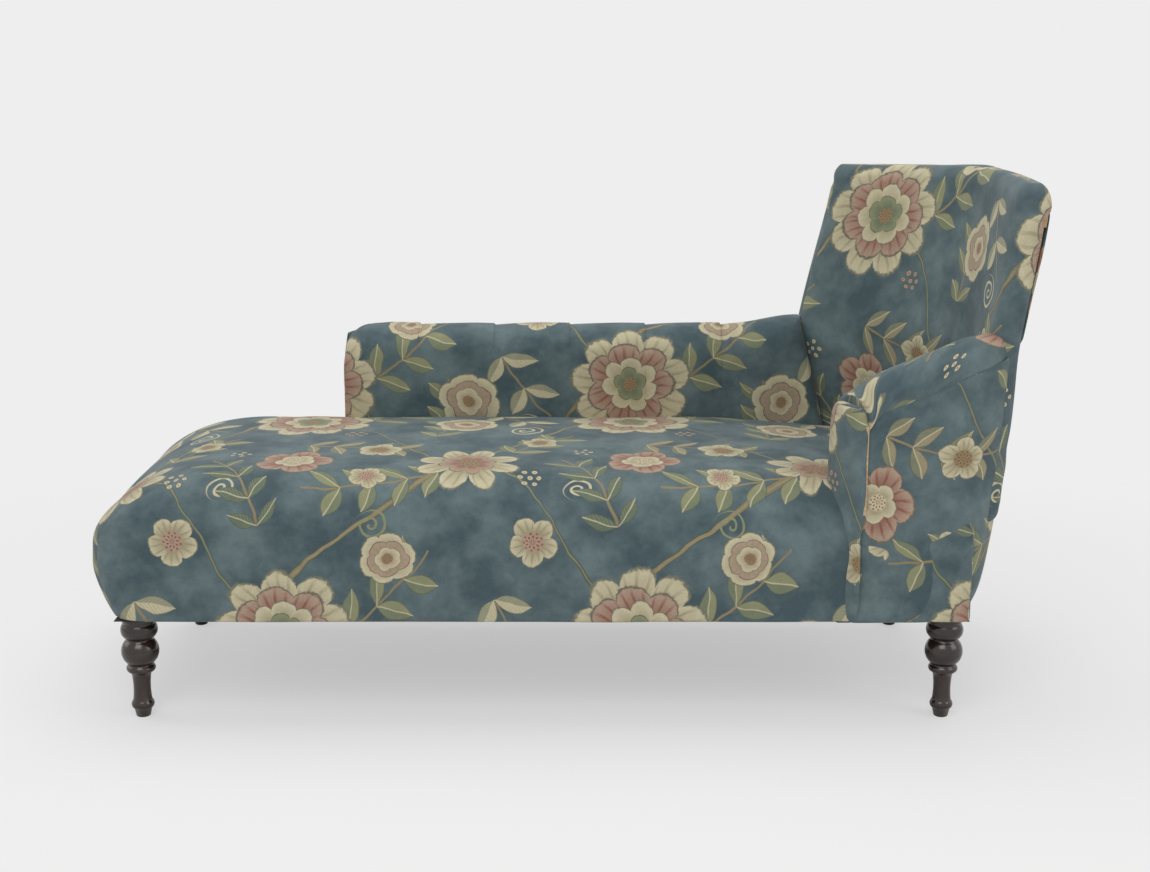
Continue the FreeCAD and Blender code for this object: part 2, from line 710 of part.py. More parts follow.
def build_springs():
    wire_z = rail_top + clip_thickness + spring_wire + 0.1
    places = steps(spring_first_x, spring_last_x, spring_count)
    springs = []
    clips = []
    for x in places:
        path = spring_path(x, wire_z)
        start = path.Vertexes[0].Point
        ring = Part.Wire(Part.Circle(start, Vector(1, 0, 0), spring_wire).toShape())
        springs.append(path.makePipeShell([ring], True, False))
        for side in (-1, 1):
            y0, y1 = sorted((side * (rail_inner_y + 1.0), side * (rail_inner_y + 1.0 + clip_depth)))
            low = box(x - clip_width / 2, x + clip_width / 2, y0, y1, rail_top, rail_top + clip_thickness)
            top_z = wire_z + spring_wire + 0.1
            high = box(x - clip_width / 2, x + clip_width / 2, y0, y1, top_z, top_z + clip_thickness)
            web_y = y0 if side < 0 else y1 - clip_thickness
            web = box(x - clip_width / 2, x + clip_width / 2, web_y, web_y + clip_thickness,
                      rail_top, top_z + clip_thickness)
            clips.append(low.fuse([high, web]).removeSplitter())
    nodes["seat_springs"] = Part.makeCompound(springs)
    nodes["spring_clips"] = Part.makeCompound(clips)
    tie_z = wire_z - spring_wire - tie_wire_radius - 0.1
    tie_start = spring_first_x - tie_wire_reach
    tie_length = spring_last_x - spring_first_x + 2 * tie_wire_reach
    ties = [cylinder(tie_wire_radius, tie_length, (tie_start, y, tie_z), (1, 0, 0)) for y in tie_wire_places]
    nodes["spring_tie_wires"] = Part.makeCompound(ties)
    platform_z = wire_z + spring_wire + seat_gap
    reach = rail_inner_y - platform_margin
    nodes["spring_platform"] = box(spring_first_x - platform_foot_reach, spring_last_x + platform_head_reach,
                                   -reach, reach, platform_z, platform_z + platform_thickness)
    return platform_z + platform_thickness + seat_gap


# Soft pieces


def build_seat(foam_bottom):
    shell = seat_form(0.0).cut(seat_form(cover_thickness))
    shell = shell.cut(low_zone(seat_gap)).cut(head_zone(seat_side_gap))
    nodes["seat_cover"] = shell.cut(leg_room())
    foam = seat_form(cover_thickness + seat_gap).common(slab(foam_bottom, seat_crest))
    foam = foam.cut(low_zone(2 * seat_gap)).cut(head_zone(seat_side_gap))
    nodes["seat_foam"] = foam


def low_back_section(x, drop, pull):
    """Upright slice of the low back: flat inner face rolling over the top to the outer face."""
    top = low_back_top - drop
    y0 = low_back_inner_y + pull
    y1 = half_depth
    z0 = rail_top + 8.0
    ri = low_back_roll_inner
    ro = low_back_roll_outer
    k = 1 - math.sqrt(0.5)
    return Part.Wire([
        line((x, y0, z0), (x, y0, top - ri)),
        arc((x, y0, top - ri), (x, y0 + ri * k, top - ri * k), (x, y0 + ri, top)),
        line((x, y0 + ri, top), (x, y1 - ro, top)),
        arc((x, y1 - ro, top), (x, y1 - ro * k, top - ro * k), (x, y1, top - ro)),
        line((x, y1, top - ro), (x, y1, z0)),
        line((x, y1, z0), (x, y0, z0)),
    ])


def build_low_back():
    width = (low_back_right - low_back_left) / low_back_panels
    step = low_back_fold_step
    pad = None
    for i in range(low_back_panels):
        start = low_back_left + width * i
        sections = [(start, step, step), (start + width * 0.45, step * 0.2, step * 0.3),
                    (start + width, 0.0, step)]
        if i == 0:
            radius = low_back_end_radius
            end = []
            for angle in steps(2.0, 90.0, 8):
                turn = math.radians(angle)
                drop = (radius - step) * (1 - math.sin(turn))
                place = start + radius * (1 - math.cos(turn))
                end.append(low_back_section(place, drop + step, step + drop * 0.2))
            pad = loft(end, True)
            sections = [(start + radius, step, step), (start + width * 0.6, step * 0.4, step * 0.3),
                        (start + width, 0.0, step)]
        panel = loft([low_back_section(*s) for s in sections])
        pad = panel if pad is None else pad.fuse(panel)
    pocket_top = low_back_top - low_back_cover_over_frame + seat_gap
    pocket_y = rail_outer_y - post_thickness - webbing_thickness - 3.0
    first = low_back_post_places[0] - post_width / 2
    last = low_back_post_places[-1] + post_width / 2
    pocket = box(first - seat_gap, low_back_right + 10, pocket_y, half_depth + 10, 0, pocket_top)
    pad = pad.cut(pocket.common(low_back_outline(panel_cover - seat_gap)))
    nodes["low_back_pad"] = pad
    panel_y = half_depth - panel_thickness
    panel = box(first, low_back_right, panel_y, half_depth, base_underside, pocket_top - seat_gap)
    nodes["low_back_outside_panel"] = panel.common(low_back_outline(panel_cover))
    strap_y = rail_outer_y - 0.5 - post_thickness - webbing_thickness
    straps = []
    for z in webbing_places:
        strap = box(first, last, strap_y, strap_y + webbing_thickness, z, z + webbing_width)
        straps.append(strap.common(low_back_outline(frame_cover)))
    nodes["low_back_webbing"] = Part.makeCompound(straps)


def build_tall_back(foam_bottom):
    full = back_form(0.0, 0.0, 0.0)
    hollow = back_form(-60.0, back_pad, back_end_pad, hollow_corner, False)
    hollow = hollow.common(slab(0, crest_rail_top + seat_gap))
    below_nose = box(0, head_x + 50, near_end_y - 60, arm_seam_y - seat_gap, 0, back_foot_z)
    low_back_side = box(0, low_back_right + seat_gap, 0, half_depth + 50, 0, tall_back_top)
    pad = full.cut(hollow).cut(slab(0, foam_bottom)).cut(below_nose).cut(low_back_side)
    nodes["tall_back_pad"] = max(pad.Solids, key=lambda s: s.Volume)
    panel = full.common(back_form(-60.0, back_pad + rail_gap, back_end_pad + rail_gap, hollow_corner, False))
    panel = panel.cut(back_form(panel_thickness, -200.0, -5.0, hollow_corner, False))
    panel = panel.common(slab(0, crest_rail_top))
    panel = panel.cut(box(0, head_x + 50, near_end_y - 60, arm_seam_y, 0, back_foot_z)).cut(leg_room())
    nodes["outside_back_panel"] = max(panel.Solids, key=lambda s: s.Volume)
    return full


def arm_section(x):
    """Upright slice of the arm: a stem inside and a roll that turns out over the arm rail."""
    top = along(arm_ridge, x)
    low = top - arm_roll_drop
    mid_y = (arm_inner_y + arm_roll_outer_y) / 2 + 4.0
    bottom = rail_top + 8.0
    crease_y = -half_depth + panel_thickness + 6.0
    return Part.Wire([
        line((x, arm_stem_back_y, bottom), (x, arm_inner_y, bottom)),
        line((x, arm_inner_y, bottom), (x, arm_inner_y, top - 48.0)),
        arc((x, arm_inner_y, top - 48.0), (x, arm_inner_y - 13.0, top - 14.0), (x, mid_y, top)),
        arc((x, mid_y, top), (x, arm_roll_outer_y + 14.0, top - 13.0), (x, arm_roll_outer_y, top - 38.0)),
        arc((x, arm_roll_outer_y, top - 38.0), (x, arm_roll_outer_y + 7.0, top - 54.0), (x, crease_y, low)),
        line((x, crease_y, low), (x, arm_stem_back_y, low)),
        line((x, arm_stem_back_y, low), (x, arm_stem_back_y, bottom)),
    ])


def facing_wire(z, a, b, c, d, e):
    """Level slice of the facing from its seat side back edge round its bulged front."""
    return Part.Wire([
        line((a.x, a.y, z), (b.x, b.y, z)),
        arc((b.x, b.y, z), (c.x, c.y, z), (d.x, d.y, z)),
        line((d.x, d.y, z), (e.x, e.y, z)),
        line((e.x, e.y, z), (a.x, a.y, z)),
    ])


def facing_section(z, first, last, drawn, back):
    ends = [facing_point(first, back), facing_point(first, drawn + 4.0)]
    ends += [facing_point((first + last) / 2, drawn - facing_bulge)]
    ends += [facing_point(last, drawn + 4.0), facing_point(last, back)]
    return facing_wire(z, *ends)


def strip_section(z, first, last):
    back_y = -rail_outer_y - seat_gap
    a = Vector(first[0], back_y, 0)
    b = Vector(*first, 0)
    d = Vector(*last, 0)
    e = Vector(last[0], back_y, 0)
    c = (b + d) * 0.5 + Vector(0, -3.0, 0)
    return facing_wire(z, a, b, c, d, e)


def build_arm(full):
    """Arm roll and stem, slanted facing with its board, and the outside panel under the roll."""
    roll = loft([arm_section(x) for x, _ in arm_ridge])
    under = [(x, along(arm_ridge, x) - arm_roll_drop) for x in (arm_stem_end_x, arm_ridge[-1][0], head_x)]
    corners = [(arm_stem_end_x, 0.0)] + under + [(head_x, 0.0), (arm_stem_end_x, 0.0)]
    stem_end = Part.Face(Part.makePolygon([Vector(x, -half_depth - 50, z) for x, z in corners]))
    stem_end = stem_end.extrude(Vector(0, half_depth, 0))
    roll = roll.common(behind_facing(seat_gap)).cut(stem_end)
    head_at_arm = along(head_profile, back_foot_z)
    outline = rounded_section(facing_x - 177.0, head_at_arm + 1.0, arm_roll_outer_y - 1.0, half_depth,
                              rail_top, 5.0, arm_corner_radius)
    column = Part.Face(outline).extrude(Vector(0, 0, tall_back_top))
    roll = roll.common(column)
    grown = back_form(-seat_gap, -seat_gap, -seat_gap)
    low_block = box(back_inner_x - seat_gap, head_x + 60, arm_seam_y - seat_gap, half_depth, 0, tall_back_top)
    nose = grown.cut(box(0, head_x + 50, near_end_y - 60, arm_seam_y, 0, back_foot_z - seat_gap))
    roll = roll.cut(nose).cut(low_block)
    nodes["arm_pad"] = max(roll.Solids, key=lambda s: s.Volume)
    pad_back = facing_thickness - facing_board_thickness
    upper = loft([facing_section(*level, pad_back - seat_gap) for level in facing_panel], True)
    strip = loft([strip_section(*level) for level in facing_strip], True)
    nodes["arm_facing"] = upper.fuse(strip)
    board = []
    for z, first, last, _ in facing_panel[:3]:
        ring = [facing_point(first + 0.03, pad_back), facing_point(last - 0.03, pad_back),
                facing_point(last - 0.03, facing_thickness), facing_point(first + 0.03, facing_thickness)]
        ring = [Vector(p.x, p.y, z) for p in ring]
        board.append(Part.makePolygon(ring + ring[:1]))
    nodes["facing_board"] = loft(board, True)
    sheet = arm_sheet().cut(leg_room())
    sheet = sheet.common(slab(base_underside, back_foot_z))
    sheet = sheet.cut(box(facing_x, head_x + 50, arm_seam_y - seat_gap, 0, 0, tall_back_top))
    front_x = facing_x - 77.0
    back_x = head_x + 50.0
    side_y = -half_depth - 75.0
    cut_depth = Vector(0, 300.0, 0)
    crease = [Vector(front_x, side_y, 0)]
    for x in [front_x] + [place for place, _ in arm_ridge[1:5]]:
        crease.append(Vector(x, side_y, along(arm_ridge, x) - arm_roll_drop - crease_gap))
    crease += [Vector(back_x, side_y, crease[-1].z + 40.0), Vector(back_x, side_y, 0), crease[0]]
    below = Part.Face(Part.makePolygon(crease)).extrude(cut_depth)
    edge = [(z, last[0] + seat_gap) for z, _, last in facing_strip]
    edge.append((edge[-1][0], facing_point(1.0, facing_thickness).x + 2 * seat_gap))
    front = [Vector(front_x, side_y, 0), Vector(edge[0][1], side_y, 0)]
    front += [Vector(x, side_y, z) for z, x in edge]
    front += [Vector(edge[-1][1], side_y, back_foot_z), Vector(front_x, side_y, back_foot_z), front[0]]
    in_front = Part.Face(Part.makePolygon(front)).extrude(cut_depth)
    panel = sheet.common(below).cut(in_front)
    nodes["outside_arm_panel"] = max(panel.Solids, key=lambda s: s.Volume)


def main():
    bores = build_legs()
    frame = build_frame()
    join_timber(frame)
    for bore in bores:
        frame["corner_blocks"] = frame["corner_blocks"].cut(bore)
    nodes.update(frame)
    foam_bottom = build_springs()
    build_seat(foam_bottom)
    build_low_back()
    full = build_tall_back(foam_bottom)
    build_arm(full)
    build_dust_cover()
    for name, shape in nodes.items():
        shape.exportStep("parts/" + name + ".step")


main()
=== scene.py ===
"""Chaise longue: printed upholstery, turned legs, frame finishes and a plain studio."""

import math

import bpy
import numpy as np
from bpy.props import FloatProperty, FloatVectorProperty, IntProperty, PointerProperty
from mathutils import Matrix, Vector, noise


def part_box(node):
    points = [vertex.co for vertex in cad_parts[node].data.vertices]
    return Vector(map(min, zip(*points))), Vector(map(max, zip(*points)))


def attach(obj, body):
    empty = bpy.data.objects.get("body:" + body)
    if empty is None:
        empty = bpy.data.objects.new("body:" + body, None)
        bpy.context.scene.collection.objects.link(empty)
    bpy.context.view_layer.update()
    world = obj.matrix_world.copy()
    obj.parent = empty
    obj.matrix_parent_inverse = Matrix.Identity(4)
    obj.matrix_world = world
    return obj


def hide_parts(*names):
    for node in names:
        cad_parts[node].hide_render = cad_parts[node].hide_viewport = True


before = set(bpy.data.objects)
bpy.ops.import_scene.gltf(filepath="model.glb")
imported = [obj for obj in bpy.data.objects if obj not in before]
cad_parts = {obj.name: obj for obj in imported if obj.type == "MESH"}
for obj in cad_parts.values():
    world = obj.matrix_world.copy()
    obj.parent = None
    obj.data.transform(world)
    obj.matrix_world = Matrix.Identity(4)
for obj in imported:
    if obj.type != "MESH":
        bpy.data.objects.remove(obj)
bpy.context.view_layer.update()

bl_info = {
    "name": "Chaise longue dressing",
    "version": (1, 0, 0),
    "blender": (4, 5, 0),
    "location": "3D View > Sidebar > Chaise",
    "description": "Builds the upholstery, legs and studio of a chaise longue around its frame",
    "category": "Object",
}


def frame_box(node):
    """Box of one solid of the frame, to the nearest millimetre."""
    return [[round(float(c), 3) for c in corner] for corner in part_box(node)]


# Main lines, in metres: X runs from foot to head, Y from the near side to the far side
(FOOT_X, _, UNDERSIDE), (_, HALF_DEPTH, _) = frame_box("seat_cover")
(LOW_BACK_FOOT, _, _), (LOW_BACK_HEAD, _, LOW_BACK_TOP) = frame_box("low_back_pad")
(_, ARM_OUTER_Y, _), (_, ARM_INNER_Y, _) = frame_box("arm_pad")
SEAT_TOP = 0.455
PAD_FOOT = 0.372  # the backs and the arm start here, behind the seat
SEAM_SLANT = 0.25  # slope of the seam between the low back and the tall back
WING_RUN, WING_RISE = 0.067, 0.300  # slope of the tall back's far edge
PANEL_FOOT = UNDERSIDE + 0.001
PANEL_THICKNESS = 0.0055
LEG_NAMES = ("leg_near_foot", "leg_far_foot", "leg_near_head", "leg_far_head")

# Outer face of the head end: height, place in X and far corner radius
HEAD_PROFILE = (
    (0.197, 0.745, 0.105), (0.215, 0.759, 0.110), (0.240, 0.770, 0.115), (0.290, 0.780, 0.120),
    (0.360, 0.790, 0.135), (0.455, 0.799, 0.150), (0.690, 0.814, 0.190), (0.875, 0.846, 0.215),
    (0.950, 0.855, 0.220), (0.990, 0.855, 0.220),
)

# Ridge of the arm's roll, and the crease under the roll: place in X and height
ARM_RIDGE = (
    (0.486, 0.600), (0.500, 0.607), (0.535, 0.627), (0.580, 0.650), (0.650, 0.676),
    (0.710, 0.705), (0.806, 0.720),
)
ARM_CREASE = (
    (0.500, 0.562), (0.535, 0.573), (0.580, 0.597), (0.650, 0.622), (0.710, 0.650),
    (0.770, 0.668), (0.800, 0.680), (0.815, 0.698),
)

# Cut of the roll, from its ends' lines towards its middle: distance in Y and drop from the ridge
ROLL_INNER = ((0.000, 0.048), (0.003, 0.030), (0.013, 0.014), (0.032, 0.003))
ROLL_OUTER = (
    (0.034, 0.003), (0.014, 0.013), (0.004, 0.025), (0.000, 0.038), (0.003, 0.048),
    (0.010, 0.056), (0.018, 0.062),
)

# Facing outline: height and the shares of its slanted front where its two edges lie
FACING_OUTLINE = (
    (0.197, 0.26, 0.80), (0.212, 0.25, 0.93), (0.240, 0.25, 1.00), (0.303, 0.21, 0.99),
    (0.325, 0.14, 0.98), (0.352, 0.02, 0.97), (0.388, -0.03, 0.97), (0.445, -0.03, 0.99),
    (0.499, -0.01, 0.98), (0.543, 0.01, 0.99), (0.566, 0.04, 0.96), (0.582, 0.10, 0.90),
    (0.592, 0.20, 0.80),
)

# Turned leg: radius and height, from the floor up
LEG_OUTLINE = (
    (0.0, 0.0), (0.0115, 0.0), (0.0130, 0.0012), (0.0160, 0.0152), (0.0178, 0.0165),
    (0.0200, 0.0195), (0.0209, 0.0234), (0.0202, 0.0272), (0.0183, 0.0305), (0.0172, 0.0325),
    (0.0163, 0.0400), (0.0156, 0.0520), (0.0158, 0.0640), (0.0167, 0.0755), (0.0180, 0.0838),
    (0.0215, 0.0860), (0.0246, 0.0883), (0.0262, 0.0910), (0.0266, 0.0936), (0.0260, 0.0964),
    (0.0243, 0.0988), (0.0222, 0.1002), (0.0228, 0.1024), (0.0262, 0.1055), (0.0310, 0.1120),
    (0.0338, 0.1200), (0.0343, 0.1265), (0.0335, 0.1335), (0.0305, 0.1410), (0.0262, 0.1470),
    (0.0236, 0.1492), (0.0240, 0.1510), (0.0290, 0.1545), (0.0325, 0.1600), (0.0337, 0.1662),
    (0.0331, 0.1725), (0.0305, 0.1785), (0.0283, 0.1818), (0.0299, 0.1835), (0.0300, 0.1860),
    (0.0300, 0.1975), (0.0, 0.1975),
)


# Sizes and colours a user would change


def tone(red, green, blue):
    """Scene colour of a swatch given in display values from 0 to 255."""
    return tuple(((c / 255 + 0.055) / 1.055) ** 2.4 for c in (red, green, blue))


def swatch(name, description, *display):
    return FloatVectorProperty(name=name, description=description, subtype="COLOR", size=3,
                               min=0.0, max=1.0, default=tone(*display))


def amount(name, description, default, unit="NONE", least=0.0):
    return FloatProperty(name=name, description=description, default=default, min=least, unit=unit)


class ChaiseCloth(bpy.types.PropertyGroup):
    """Printed linen of the upholstery."""

    ground: swatch("Ground", "Blue ground of the cloth", 68, 85, 90)
    ground_light: swatch("Ground light", "Cloudy lighter patches of the ground", 101, 117, 119)
    cream: swatch("Cream", "Large petals", 190, 182, 152)
    sand: swatch("Sand", "Shaded parts of the cream petals", 146, 138, 110)
    pink: swatch("Pink", "Dusty pink petals", 166, 143, 124)
    red: swatch("Red", "Veins and dots of the petals", 128, 78, 66)
    green: swatch("Green", "Leaves", 132, 136, 104)
    green_dark: swatch("Dark green", "Shaded leaves", 96, 110, 92)
    ochre: swatch("Ochre", "Branches and flower hearts", 138, 124, 92)
    outline: swatch("Outline", "Fine line round the printed forms", 84, 88, 78)
    repeat_across: amount("Repeat across", "Width of one print repeat", 0.64, "LENGTH", 0.2)
    repeat_along: amount("Repeat along", "Height of one print repeat", 0.72, "LENGTH", 0.2)


class ChaiseForm(bpy.types.PropertyGroup):
    """Shape of the padded pieces."""

    spacing: amount("Grid spacing", "Spacing of the first grid of each pad", 0.024, "LENGTH", 0.01)
    pressure: amount("Stuffing pressure", "Pressure that fills the pads", 4.0)
    swell: amount("Largest swell", "How far a pad may swell", 0.006, "LENGTH")
    fold_step: amount("Fold step", "Height of the folds over the low back", 0.0045, "LENGTH")
    crown: amount("Seat crown", "Rise of the seat's middle", 0.004, "LENGTH")


class ChaiseLeg(bpy.types.PropertyGroup):
    """Turned legs."""

    wood: swatch("Wood", "Near-black stain of the legs", 30, 22, 18)
    grain: swatch("Grain", "Lighter grain showing through the stain", 58, 40, 30)
    sides: IntProperty(name="Sides", description="Divisions round a leg", default=64, min=12)


class ChaiseStage(bpy.types.PropertyGroup):
    """Floor, lamps and camera."""

    floor: swatch("Floor", "Pale floor and backdrop", 238, 238, 238)
    key_power: amount("Key power", "Power of the large lamp in front", 62.0, "POWER")
    fill_power: amount("Fill power", "Power of the side lamps", 22.0, "POWER")
    top_power: amount("Top power", "Power of the lamp above", 40.0, "POWER")
    sky: amount("Sky strength", "Strength of the light from all round", 0.55)


# Number helpers


def along(table, place, column=1):
    """Straight-line reading of a table whose first column rises."""
    return float(np.interp(place, [row[0] for row in table], [row[column] for row in table]))


def limited(value):
    """The value, kept between 0 and 1."""
    return min(max(value, 0.0), 1.0)


def smooth(value, start, end):
    """Eased share of the way from start to end."""
    share = limited((value - start) / (end - start))
    return share * share * (3 - 2 * share)


def running(points):
    """Length from the first point to each point of a row."""
    points = np.asarray(points, float)
    return np.concatenate([[0.0], np.cumsum(np.linalg.norm(np.diff(points, axis=0), axis=1))])


def resample(points, count):
    """Even points along a polyline, with its ends kept."""
    points = np.array(points, float)
    lengths = running(points)
    wanted = np.linspace(0.0, lengths[-1], count)
    return np.stack([np.interp(wanted, lengths, points[:, i]) for i in (0, 1)], axis=1)


def spaced(points, spacing, least=2):
    """Points along a polyline about one spacing apart, with its ends kept."""
    return resample(points, max(least, int(round(running(points)[-1] / spacing)) + 1))


def arc_points(centre, radius, start, end, count=12):
    """Points of an arc between two angles in degrees."""
    angles = np.radians(np.linspace(start, end, count))
    return [(centre[0] + radius * math.cos(a), centre[1] + radius * math.sin(a)) for a in angles]


# Mesh helpers


def shade_smooth(mesh):
    for face in mesh.polygons:
        face.use_smooth = True


def link_piece(name, mesh):
    piece = bpy.data.objects.new(name, mesh)
    bpy.context.scene.collection.objects.link(piece)
    return piece


def new_mesh(name, points, faces, uvs):
    """Mesh with one fabric coordinate pair for each face corner, in metres."""
    mesh = bpy.data.meshes.new(name)
    mesh.from_pydata([tuple(p) for p in points], [], faces)
    layer = mesh.uv_layers.new(name="fabric")
    layer.data.foreach_set("uv", np.array(uvs, dtype=np.float32).ravel())
    mesh.validate()
    mesh.update()
    piece = link_piece(name, mesh)
    shade_smooth(mesh)
    turn_outwards(piece)
    return piece


def turn_outwards(piece):
    bpy.context.view_layer.objects.active = piece
    piece.select_set(True)
    bpy.ops.object.mode_set(mode="EDIT")
    bpy.ops.mesh.select_all(action="SELECT")
    bpy.ops.mesh.normals_make_consistent(inside=False)
    bpy.ops.object.mode_set(mode="OBJECT")
    piece.select_set(False)


def run_row(line, gap, shift=0.0):
    """Fabric coordinates that follow a ring's length, with one more that closes the ring."""
    lengths = [shift + length for length in running(line)]
    return lengths + [lengths[-1] + gap]


def place_row(values):
    """Fabric coordinates taken from places, with the first again to close the ring."""
    return [*values, values[0]]


def even_ring(row):
    """Row of an odd ring without its last point; the closing value of a row stays."""
    return row[:-2] + row[-1:]


def tube_piece(name, rings, us, vs, cap_uv):
    """Closed form from equal rings; its two ends are closed by rungs between the ring's halves.

    Ring points 0..h run along one side and the rest come back along the other, so point k and
    point n-1-k face each other.
    """
    if len(rings[0]) % 2:
        rings = [ring[:-1] for ring in rings]
        us, vs = [[even_ring(row) for row in rows] for rows in (us, vs)]
    rings = np.array(rings, float)
    stations, n, _ = rings.shape
    faces = []
    uvs = []
    for i in range(stations - 1):
        for k in range(n):
            corners = ((i, k), (i, k + 1), (i + 1, k + 1), (i + 1, k))
            faces.append(tuple(s * n + m % n for s, m in corners))
            uvs += [(us[s][m], vs[s][m]) for s, m in corners]
    for station in (0, stations - 1):
        for k in range(n // 2 - 1):
            face = [k, k + 1, n - 2 - k, n - 1 - k]
            faces.append(tuple(station * n + m for m in face))
            uvs += [cap_uv(rings[station][m]) for m in face]
    return new_mesh(name, rings.reshape(-1, 3), faces, uvs)


def subdivide(piece, levels):
    modifier = piece.modifiers.new("Smooth", "SUBSURF")
    modifier.levels = levels
    modifier.render_levels = levels
    modifier.uv_smooth = "PRESERVE_BOUNDARIES"
    apply_modifiers(piece)


def apply_modifiers(piece):
    """Replace the mesh by its evaluated form and drop the modifiers."""
    depsgraph = bpy.context.evaluated_depsgraph_get()
    mesh = bpy.data.meshes.new_from_object(piece.evaluated_get(depsgraph), depsgraph=depsgraph,
                                           preserve_all_data_layers=True)
    old = piece.data
    piece.modifiers.clear()
    piece.data = mesh
    mesh.name = piece.name
    bpy.data.meshes.remove(old)
    shade_smooth(mesh)


def read_vertices(mesh, what="co"):
    values = np.empty(len(mesh.vertices) * 3)
    mesh.vertices.foreach_get(what, values)
    return values.reshape(-1, 3)


def move_vertices(mesh, places):
    mesh.vertices.foreach_set("co", places.ravel())
    mesh.update()


STUFFING_STEPS = 20
CLOTH_STIFFNESS = 15.0
CLOTH_BENDING = 0.5


def fill_with_stuffing(piece, held):
    """Swell a pad by cloth simulation; held(point) says where it is nailed down."""
    form = bpy.context.scene.chaise_form
    before = read_vertices(piece.data)
    group = piece.vertex_groups.new(name="nailed")
    group.add([i for i, p in enumerate(before) if held(p)], 1.0, "REPLACE")
    cloth = piece.modifiers.new("Stuffing", "CLOTH")
    feel = cloth.settings
    feel.use_pressure = True
    feel.uniform_pressure_force = form.pressure
    feel.vertex_group_mass = group.name
    feel.effector_weights.gravity = 0.0
    feel.quality = 5
    feel.tension_stiffness = CLOTH_STIFFNESS
    feel.compression_stiffness = CLOTH_STIFFNESS
    feel.bending_stiffness = CLOTH_BENDING
    cloth.collision_settings.use_collision = False
    cloth.point_cache.frame_start = 1
    cloth.point_cache.frame_end = STUFFING_STEPS
    scene = bpy.context.scene
    for step in range(1, STUFFING_STEPS + 1):
        scene.frame_set(step)
    evaluated = piece.evaluated_get(bpy.context.evaluated_depsgraph_get())
    moved = read_vertices(evaluated.data) - before
    moved[~np.isfinite(moved)] = 0.0
    length = np.linalg.norm(moved, axis=1, keepdims=True)
    moved *= np.minimum(1.0, form.swell / np.maximum(length, 1e-9))
    piece.modifiers.clear()
    piece.vertex_groups.clear()
    move_vertices(piece.data, before + moved)
    scene.frame_set(1)


def ruffle(piece, height, size, seed):
    """Small soft unevenness of hand-stuffed cloth, along the surface normals."""
    places = read_vertices(piece.data)
    normals = read_vertices(piece.data, "normal")
    shifted = places / size + np.array([seed, seed * 1.7, seed * 0.3])
    heights = np.array([noise.noise(p) for p in shifted.tolist()]) * height
    move_vertices(piece.data, places + normals * heights[:, None])


def dress(piece, material, nodes):
    """Put a finish on a piece, hang it under the root and hide the frame's solids it stands for."""
    piece.data.materials.clear()
    piece.data.materials.append(material)
    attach(piece, "root")
    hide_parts(*nodes)


# Node values that can be added and multiplied


class Reading:
    """One output of a material's nodes."""

    def __init__(self, tree, socket):
        self.tree = tree
        self.socket = socket

    def math(self, kind, *others, clamp=False):
        node = add_node(self.tree, "ShaderNodeMath", enumerate((self, *others)),
                        operation=kind, use_clamp=clamp)
        return Reading(self.tree, node.outputs[0])

    def __add__(self, other):
        return self.math("ADD", other)

    def __sub__(self, other):
        return self.math("SUBTRACT", other)

    def __mul__(self, other):
        return self.math("MULTIPLY", other)

    def __truediv__(self, other):
        return self.math("DIVIDE", other)

    def fade(self, limit, soft):
        """1 where the reading is well under the limit, 0 where it is over it."""
        return self.math("MULTIPLY_ADD", -1.0 / soft, limit / soft + 0.5, clamp=True)

    def over(self, limit, soft):
        """0 where the reading is well under the limit, 1 where it is over it."""
        return self.math("MULTIPLY_ADD", 1.0 / soft, -limit / soft + 0.5, clamp=True)


def put(tree, socket, value):
    """Link a reading to a socket, or set the socket to a plain value."""
    if isinstance(value, Reading):
        tree.links.new(value.socket, socket)
    else:
        socket.default_value = value


def add_node(tree, kind, inputs=(), **settings):
    """Node with its settings, and with readings or values on its inputs by name or number."""
    node = tree.nodes.new(kind)
    for key, value in settings.items():
        setattr(node, key, value)
    for key, value in dict(inputs).items():
        put(tree, node.inputs[key], value)
    return node


def add_socket(tree, name, kind, side="INPUT"):
    return tree.interface.new_socket(name, in_out=side, socket_type="NodeSocket" + kind)


def vector_math(tree, kind, *values):
    node = add_node(tree, "ShaderNodeVectorMath", enumerate(values), operation=kind)
    return Reading(tree, node.outputs[0])


def components(tree, vector):
    """The X, Y and Z readings of a vector."""
    node = add_node(tree, "ShaderNodeSeparateXYZ", {0: vector})
    return [Reading(tree, socket) for socket in node.outputs]


def blend_colours(tree, first, second, share, kind="MIX"):
    first, second = (c if isinstance(c, Reading) else (*c, 1.0) for c in (first, second))
    node = add_node(tree, "ShaderNodeMix", {0: share, 6: first, 7: second},
                    data_type="RGBA", blend_type=kind)
    return Reading(tree, node.outputs[2])


def speckle(tree, where, scale, detail=2.0, rough=0.5, stretch=None):
    """Noise reading from 0 to 1 at a place, stretched where asked."""
    if stretch:
        mapping = add_node(tree, "ShaderNodeMapping", {"Vector": where, "Scale": stretch})
        where = Reading(tree, mapping.outputs[0])
    node = add_node(tree, "ShaderNodeTexNoise", {"Vector": where, "Scale": scale,
                                                 "Detail": detail, "Roughness": rough})
    return Reading(tree, node.outputs["Fac"])


def object_place(tree):
    return Reading(tree, add_node(tree, "ShaderNodeTexCoord").outputs["Object"])


def new_material(name, inputs):
    """Material with plain values on its shader's inputs."""
    material = bpy.data.materials.new(name)
    material.use_nodes = True
    tree = material.node_tree
    shader = tree.nodes["Principled BSDF"]
    for key, value in inputs.items():
        shader.inputs[key].default_value = value
    return material, tree, shader


